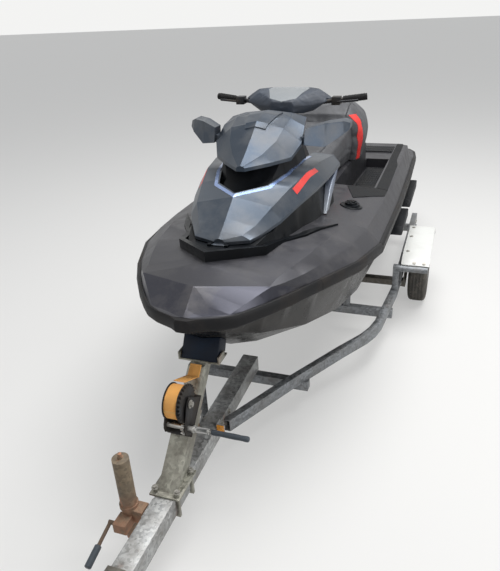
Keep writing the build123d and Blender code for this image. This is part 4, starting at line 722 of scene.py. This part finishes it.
# millimetres, with the cloth's pressure; seams as (station, x), crossings as (station, lowest z)
seats = {
    "driverSeat": {
        "node": "seat_driver", "voxel": 9, "ease": 4, "slim": 3, "pressure": 4, "held": 60, "reach": 9,
        "seam": [(1640, 62), (1700, 84), (1900, 112), (2150, 134), (2280, 146)], "seamLow": 990, "weltLow": 960,
        "crossings": [(1820, 1015), (1960, 1030), (2100, 1060)]},
    "passengerSeat": {
        "node": "seat_passenger", "voxel": 10, "ease": 4, "slim": 4, "pressure": 4, "held": 60, "reach": 11,
        "seam": [(2300, 168), (2350, 176), (2500, 168), (2750, 136), (2890, 106)], "seamLow": 1110, "weltLow": 1090,
        "crossings": [(2470, 1195), (2620, 1180), (2760, 1150)]},
}
barPad = {"voxel": 6, "ease": 2, "slim": 1, "pressure": 3, "held": 8, "reach": 3}
seatSkins = {}
for name, spec in seats.items():
    mesh = sewn(puffed(spec["node"], spec), spec)
    seatSkins[name] = surfaceOf(mesh)
    addPiece(name, mesh, "seatCover", fixedBody, "seat_cover", (spec["node"],), 0)
padMesh = puffed("bar_pad", barPad)
addPiece("steeringPad", padMesh, "padCover", "steering", "black_trim", ("bar_pad",), 0)
seatStripe = {"front": 2300, "back": 2344, "low": 812, "high": 1226, "proud": 1.5, "innermost": 150, "thick": 3}


# ribbon on a seat's flank, from the foot up over the shoulder
def flankRibbon(skin, spec, steps=24, outside=600):
    rows = []
    for k in range(steps + 1):
        z = spec["low"] + (spec["high"] - spec["low"]) * k / steps
        row = []
        for station in (spec["front"], (spec["front"] + spec["back"]) / 2, spec["back"]):
            place, normal = hit(skin, at(outside, station, z), (-1, 0, 0))
            if place is not None and place.x >= spec["innermost"] / 1000:
                row.append(place + normal * spec["proud"] / 1000)
        if len(row) == 3:
            rows.append(row)
    return mirroredToo(sheetMesh(rows, spec["thick"]))


stripeMesh = flankRibbon(seatSkins["passengerSeat"], seatStripe)
addPiece("seatStripe", stripeMesh, "redCover", fixedBody, "seat_red", ("seat_stripe",))


# welt on the seat's top seam, dropped on the cover
def piping(skin, spec, radius=2.2, steps=8):
    points = []
    for (s0, x0), (s1, x1) in zip(spec["seam"], spec["seam"][1:]):
        for k in range(steps):
            t = k / steps
            place, normal = hit(skin, at(x0 + (x1 - x0) * t, s0 + (s1 - s0) * t, 1500))
            if place is not None and place.z > spec["weltLow"] / 1000:
                points.append(place + normal * 0.0004)
    return mirroredToo(tubeMesh(points, radius / 1000))


welts = joined([piping(seatSkins[name], spec) for name, spec in seats.items()])
addPiece("seatPiping", welts, "blackTrim", fixedBody, "seat_cover")
print("seats and pad made")


deckSkin = surfaceOf(nodes["seat_base"].data)
sternSkin = surfaceOf(nodes["stern_deck"].data)
# bounds as lowest and highest x, then first and last station
mats = {"thick": 6, "sunk": 0.3, "ribHigh": 2.5, "ribPitch": 16, "ribWide": 8, "edge": 12, "end": 14,
        "well": (228, 442, 1748, 2990), "platform": (-424, 424, 3224, 3400)}


# the deck's height in millimetres midway between a mat's sides
def deckHeight(skin, bounds, station):
    return hit(skin, at((bounds[0] + bounds[1]) / 2, station, 860))[0].z * 1000


# slab lying on the deck
def laidMat(skin, bounds, steps=14):
    x0, x1, s0, s1 = bounds
    rings = []
    for k in range(steps + 1):
        s = s0 + (s1 - s0) * k / steps
        z = deckHeight(skin, bounds, s)
        top, low = z + mats["thick"], z + mats["sunk"]
        rings.append([at(x0, s, top), at(x1, s, top), at(x1, s, low), at(x0, s, low)])
    return softened(loftMesh(rings), 3)


# raised bars on a mat, in rows
def matRibs(skin, bounds, pitch, steps=12, share=0.82):
    x0, x1, s0, s1 = bounds
    edge, end = mats["edge"], mats["end"]
    count = int((x1 - x0 - 2 * edge) / mats["ribPitch"])
    lines = []
    for k in range(count + 1):
        x = x0 + edge + (x1 - x0 - 2 * edge) * k / count
        points = []
        for j in range(steps + 1):
            s = s0 + end + (s1 - s0 - 2 * end) * j / steps
            z = deckHeight(skin, bounds, s) + mats["thick"] + mats["ribHigh"] / 2 - mats["sunk"]
            points.append(at(x, s, z))
        lines.append(lineMesh(points))
    sizes = {"Count": max(2, int((s1 - s0 - 2 * end) / pitch)), "Long": mats["ribWide"] / 1000,
             "Wide": pitch * share / 1000, "Tall": mats["ribHigh"] / 1000}
    return grown(joined(lines), barTree(sizes, "matRubber"))


wellMats = [laidMat(deckSkin, mats["well"]), matRibs(deckSkin, mats["well"], 62)]
platformMats = [laidMat(sternSkin, mats["platform"], 6), matRibs(sternSkin, mats["platform"], 44)]
addPiece("wellMats", mirroredToo(joined(wellMats)), "matRubber", fixedBody, "rubber_trim")
addPiece("platformMat", joined(platformMats), "matRubber", fixedBody, "rubber_trim")
print("mats laid")


# film laid on a skin between two plan lines of (x, station) at port, mirrored
def laidRibbon(skin, spec, steps=10, across=4, steepest=0.2):
    def divided(line):
        out = []
        for (x0, s0), (x1, s1) in zip(line, line[1:]):
            out += [(x0 + (x1 - x0) * k / steps, s0 + (s1 - s0) * k / steps) for k in range(steps)]
        return out + [line[-1]]
    rows = []
    for (xi, si), (xo, so) in zip(divided(spec["inner"]), divided(spec["outer"])):
        spots = [hit(skin, at(xi + (xo - xi) * j / across, si + (so - si) * j / across, 1400))
                 for j in range(across + 1)]
        if all(place is not None and normal.z >= steepest for place, normal in spots):
            rows.append([place + Vector((0, 0, spec["lift"] / 1000)) for place, normal in spots])
    return mirroredToo(sheetMesh(rows, spec["thick"]))


hoodStripe = {"inner": [(0, 620), (123, 731), (167, 879), (189, 1081), (195, 1180)],
              "outer": [(0, 599), (136, 720), (183, 874), (205, 1081), (209, 1180)], "lift": 0.8, "thick": 0.8}
decal = {"inner": [(221, 766), (266, 1002)], "outer": [(241, 772), (281, 1018)], "lift": 0.8, "thick": 0.8}
wellTrim = {"front": {"inner": [(372, 1472), (300, 1700), (300, 1716)],
                      "outer": [(376, 1468), (532, 1605), (534, 1716)], "lift": 1.6, "thick": 3.2},
            "side": {"inner": [(446, 1722), (446, 2300), (446, 2434), (446, 3006)],
                     "outer": [(534, 1722), (528, 2300), (508, 2434), (506, 3006)], "lift": 1.6, "thick": 3.2}}
hoodSkin = surfaceOf(nodes["hood"].data)
deckTop = surfaceOf(deckMesh)
addPiece("hoodStripe", laidRibbon(hoodSkin, hoodStripe), "reflective", "front_lid", "accent_blue")
addPiece("hoodDecals", laidRibbon(hoodSkin, decal), "decalRed", "front_lid", "seat_red")
trims = joined([laidRibbon(deckTop, spec) for spec in wellTrim.values()])
addPiece("wellTrim", trims, "wellPlastic", fixedBody, "rubber_trim")
print("hood graphics laid")


# ends of a grip's axis
def gripLine(side):
    spots = [v.co for v in nodes["grips"].data.vertices if v.co.x * side > 0]
    ends = []
    for edge in (min(abs(p.x) for p in spots), max(abs(p.x) for p in spots)):
        close = [p for p in spots if abs(abs(p.x) - edge) < 0.012]
        ends.append(sum(close, Vector()) / len(close))
    return ends


gripRibs = {"Count": 14, "Radius": 0.0172, "Thick": 0.0016}  # metres
ringsTree = ringTree(gripRibs, "gripRubber")
ribs = []
for side in (1, -1):
    a, b = gripLine(side)
    ribs.append(grown(lineMesh([a.lerp(b, 0.10), a.lerp(b, 0.9)]), ringsTree))
addPiece("gripRibs", joined(ribs), "gripRubber", "steering", "rubber_trim")
# place as (x, station), flange as (radius, height), lugs as width, half length and height
cap = {"at": (393, 1304), "flange": [(43, -3), (43, 5), (45, 7), (56, 6), (61, 1), (61, -3)],
       "lugs": 3, "lug": (9, 26, 4)}


# flange round the fuel cap, and the cap's grip
def fillerMesh(spec):
    foot, normal = hit(deckTop, at(*spec["at"], 1200))
    lean = Vector((1, 0, 0)).rotation_difference(normal).to_matrix().to_4x4()
    flange = turnedMesh(spec["flange"], Vector())
    flange.transform(Matrix.Translation(foot) @ lean)
    low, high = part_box("fuel_cap")
    crown = Vector(((low.x + high.x) / 2, (low.y + high.y) / 2, high.z))
    wide, long, tall = (v / 1000 for v in spec["lug"])
    parts = [softened(flange, 1.0)]
    for k in range(spec["lugs"]):
        bar = boxMesh((-wide / 2, -long, -0.001), (wide / 2, long, tall))
        bar.transform(Matrix.Translation(crown) @ Matrix.Rotation(math.pi * k / spec["lugs"], 4, "Z"))
        parts.append(softened(bar, 1.5))
    return joined(parts)


addPiece("fillerFlange", fillerMesh(cap), "glossTrim", fixedBody, "black_trim")
print("grips and filler made")


# half the tyre's outline from the rim to the tread's middle, as (radius, x)
tyreOutline = [
    (101, -45), (112, -52), (116, -51), (120, -53.5), (136, -58.5), (150, -60), (160, -59.6), (163, -60),
    (166, -59.3), (180, -57.5), (190, -54), (198, -49.5), (203, -44), (205, -40), (206, -36.5), (206.6, -33),
    (207, -27), (207.3, -23), (207.4, -19), (207.5, -13), (207.5, -8.5), (207.5, -4.5)]
tread = {"blocks": 54, "groove": 5.0, "zigzag": 2.4, "half": 42}
hubs = {"port": at(740, 2050, 207.5), "starboard": at(-740, 2050, 207.5)}
wheelNuts = {"count": 4, "circle": 0.057, "proud": 0.0085}


# zigzag grooves round the tread, with short cuts across its shoulders and its middle
def treadCut(step, x):
    zig = tread["zigzag"] if (step // 2) % 2 else -tread["zigzag"]
    lie = abs(x + zig * (abs(x) < 36))
    if abs(x) < tread["half"]:
        if abs(lie - 10.5) < 2.6 or abs(lie - 29.5) < 3.2:
            return tread["groove"]
        if step % 4 == 0 and abs(x) > 31:
            return tread["groove"] * 0.8
        if step % 4 == 2 and lie < 8:
            return tread["groove"] * 0.3
    return 0.0


tyreProfile = tyreOutline + [(207.5, 0)] + [(r, -x) for r, x in reversed(tyreOutline)]
for side, hub in hubs.items():
    body, out = f"wheel_{side}", 1 if side == "port" else -1
    tyre = turnedMesh(tyreProfile, hub, tread["blocks"] * 4, treadCut)
    addPiece(f"{side}Tyre", tyre, "tyreRubber", body, "tyre", (f"tyre_{side}",), 42)
    nuts = []
    for k in range(wheelNuts["count"]):
        a = 2 * math.pi * (k + 0.5) / wheelNuts["count"]
        turned = Vector((0, math.cos(a), math.sin(a))) * wheelNuts["circle"]
        nuts.append((hub + turned + Vector((out * wheelNuts["proud"], 0, 0)), (out, 0, 0)))
    addBolts(f"{side}WheelNuts", nuts, (9, 13, 13), body)
print("wheels made")


rollLow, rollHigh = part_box("strap_roll")
drumAt = Vector((0, round(rollLow.y + rollHigh.y, 6) / 2, round(rollLow.z + rollHigh.z, 6) / 2))
coil = {"outer": 66.0, "inner": 30.4, "half": 25.6, "layer": 3}


# webbing wound in layers, its edges showing on both faces
def coilMesh(centre, spec):
    outer, inner, half = spec["outer"], spec["inner"], spec["half"]
    layers = int((outer - inner) / spec["layer"])
    step = (outer - inner) / layers
    profile = []
    for k in range(layers):
        r = inner + step * k
        profile += [(r + 0.2, -half + 0.9), (r + step * 0.3, -half), (r + step * 0.75, -half)]
    profile += [(outer - 0.3, -half + 0.6), (outer, -half + 1.4)]
    profile += [(r, -x) for r, x in reversed(profile)]
    return turnedMesh(profile, centre, 56)


addPiece("strapCoil", coilMesh(drumAt, coil), "strapWebbing", "winch_drum", "strap_orange", ("strap_roll",), 30)
gripLow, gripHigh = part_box("crank_grip")
half = (gripHigh.x - gripLow.x) * 500
crankGrip = [(0.01, -half), (8.5, -half), (11, -half + 3), (12, -half + 14), (10.6, -half + 34), (11.4, -10),
             (11.8, 20), (10.8, half - 34), (12, half - 10), (10.5, half - 2), (7, half), (0.01, half)]
gripMesh = turnedMesh(crankGrip, (gripLow + gripHigh) / 2, 28)
addPiece("crankGrip", gripMesh, "greyGrip", "winch_crank", "grip_grey", ("crank_grip",), 40)
print("winch details made")


def mirroredPlaces(places):
    return places + [(Vector((-p.x, p.y, p.z)), (-d[0], d[1], d[2])) for p, d in places]


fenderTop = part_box("fenders")[1].z * 1000 + 0.5
lip = {"run": 70, "drop": 36, "station": 1686, "up": 15.5}  # the fender's front flap and its bolts' place on it
lipFacing = Vector((0, -lip["drop"], lip["run"])).normalized()
lipZ = fenderTop - lip["drop"] + lip["drop"] * lip["up"] / lip["run"]
fenderBolts = [(at(x, lip["station"], lipZ), lipFacing) for x in (722, 780)]
fenderBolts += [(at(672, s, fenderTop), (0, 0, 1)) for s in (1800, 2050, 2215)]
addBolts("fenderBolts", mirroredPlaces(fenderBolts), (7.5, 5, 12))
railBolts = [(at(641, s, 212), (1, 0, 0)) for s in (1800, 2050, 2215, 2940, 2980)]
addBolts("railBolts", mirroredPlaces(railBolts), (7, 6, 11))
addBolts("clampNuts", [(at(x, s, 286), (0, 0, 1)) for s in (-270, -150) for x in (46, -46)], (9, 9, 13))
# nearest and farthest x, station, plate's and lens's thickness, z range, the lens's inset and the plate's foot
reflector = {"near": 40.2, "far": 78, "station": 132, "plate": 2.5, "lens": 5, "low": 238, "high": 282, "rim": 2,
             "foot": 40}


# amber lenses facing ahead on small angle plates at both flanks of the drawbar
def reflectorMeshes(spec):
    near, far, s, plate, rim = (spec[key] for key in ("near", "far", "station", "plate", "rim"))
    low, high, foot = spec["low"], spec["high"], s + spec["foot"]
    plan = [(near, s), (far, s), (far, s + plate), (near + plate, s + plate), (near + plate, foot), (near, foot)]
    angle = loftMesh([[at(x, y, z) for x, y in plan] for z in (low, high)])
    lens = boxMesh(at(near + rim, s - spec["lens"], low + rim), at(far - rim, s - 0.1, high - rim))
    return mirroredToo(softened(lens, 1.5)), mirroredToo(softened(angle, 0.6))


lensMesh, plateMesh = reflectorMeshes(reflector)
addPiece("frontReflectors", lensMesh, "amberLens", fixedBody, "lamp_red")
addPiece("reflectorPlates", plateMesh, "zincBar", fixedBody, "galvanised")
barBolts = [(at(40.6, s, z), (1, 0, 0)) for s, z in ((186, 244), (232, 206), (276, 240))]
addBolts("drawbarBolts", mirroredPlaces(barBolts), (9, 8, 14))
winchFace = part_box("winch_frame")[1].x + 0.0005
addBolts("drumNut", [(Vector((winchFace, drumAt.y, drumAt.z)), (1, 0, 0))], (11, 10, 16.5))
print("bolts set")


# the camera fitted to the photo: place in metres, turns in radians, lens in millimetres
shot = {"place": (0.894, -2.873, 1.921), "yaw": math.radians(-20.58), "pitch": math.radians(26.69),
        "roll": math.radians(-3.24), "lens": 575.9 / 571 * 36}


def addCamera(spec):
    yaw, pitch, roll = spec["yaw"], spec["pitch"], spec["roll"]
    forward = Vector((math.sin(yaw) * math.cos(pitch), math.cos(yaw) * math.cos(pitch), -math.sin(pitch)))
    side = Vector((math.cos(yaw), -math.sin(yaw), 0))
    up = side.cross(forward)
    right = side * math.cos(roll) + up * math.sin(roll)
    top = up * math.cos(roll) - side * math.sin(roll)
    data = bpy.data.cameras.new("shot")
    setAll(data, {"sensor_fit": "VERTICAL", "sensor_height": 36, "lens": spec["lens"]})
    camera = placed("shot", data)
    camera.matrix_world = Matrix((*zip(right, top, -forward, spec["place"]), (0, 0, 0, 1)))
    bpy.context.scene.camera = camera


stage = {"floorTone": (0.72, 0.71, 0.69, 1), "sky": (0.56, 0.60, 0.66, 1), "skyStrength": 0.35,
         "paper": (0.90, 0.90, 0.89, 1), "floorGlow": 0.45, "reach": 40}
# lamp: place, point it faces, size, watts
lamps = {"top": ((1.1, 0.7, 5.2), (0.6, 0.5, 0.6), 3.8, 340), "side": ((4.8, -3.2, 2.8), (0, 0, 0.6), 3.0, 120),
         "fill": ((-4.5, -4.0, 3.0), (0, 0, 0.6), 5.0, 35)}


# 1 for what the camera, a gloss or glass sees
def directRay(tree):
    path = addNode(tree, "ShaderNodeLightPath").outputs
    seen = combined(tree, "MAXIMUM", path["Is Camera Ray"], path["Is Glossy Ray"])
    return combined(tree, "MAXIMUM", seen, path["Is Transmission Ray"])


def addFloor():
    far = stage["reach"]
    mesh = meshFrom([(-far, -far, 0), (far, -far, 0), (far, far, 0), (-far, far, 0)], [(0, 1, 2, 3)])
    mat, shader, _ = startFinish("floor", {"rough": 0.9})
    shader.inputs["Base Color"].default_value = stage["floorTone"]
    tree = mat.node_tree
    glow = addNode(tree, "ShaderNodeEmission", {"Color": stage["paper"], "Strength": 1.0})
    share = combined(tree, "MULTIPLY", directRay(tree), stage["floorGlow"])
    both = addNode(tree, "ShaderNodeMixShader", {0: share, 1: shader.outputs[0], 2: glow.outputs[0]})
    tree.links.new(both.outputs[0], tree.nodes["Material Output"].inputs["Surface"])
    mesh.materials.append(mat)
    placed("floor", mesh)


def addLamps():
    for name, (place, aim, size, power) in lamps.items():
        data = bpy.data.lights.new(name, "AREA")
        setAll(data, {"size": size, "energy": power})
        turn = (Vector(aim) - Vector(place)).to_track_quat("-Z", "Y").to_euler()
        setAll(placed(name, data), {"location": place, "rotation_euler": turn})


def addSky():
    world = bpy.data.worlds.new("studio")
    world.use_nodes = True
    tree = world.node_tree
    soft = tree.nodes["Background"]
    soft.inputs["Color"].default_value = stage["sky"]
    soft.inputs["Strength"].default_value = stage["skyStrength"]
    paper = addNode(tree, "ShaderNodeBackground", {"Color": stage["paper"], "Strength": 1.0})
    mix = addNode(tree, "ShaderNodeMixShader", {0: directRay(tree), 1: soft.outputs[0], 2: paper.outputs[0]})
    tree.links.new(mix.outputs[0], tree.nodes["World Output"].inputs["Surface"])
    bpy.context.scene.world = world


addCamera(shot)
addFloor()
addLamps()
addSky()
bpy.context.scene.view_settings.view_transform = "Standard"
print("stage ready")
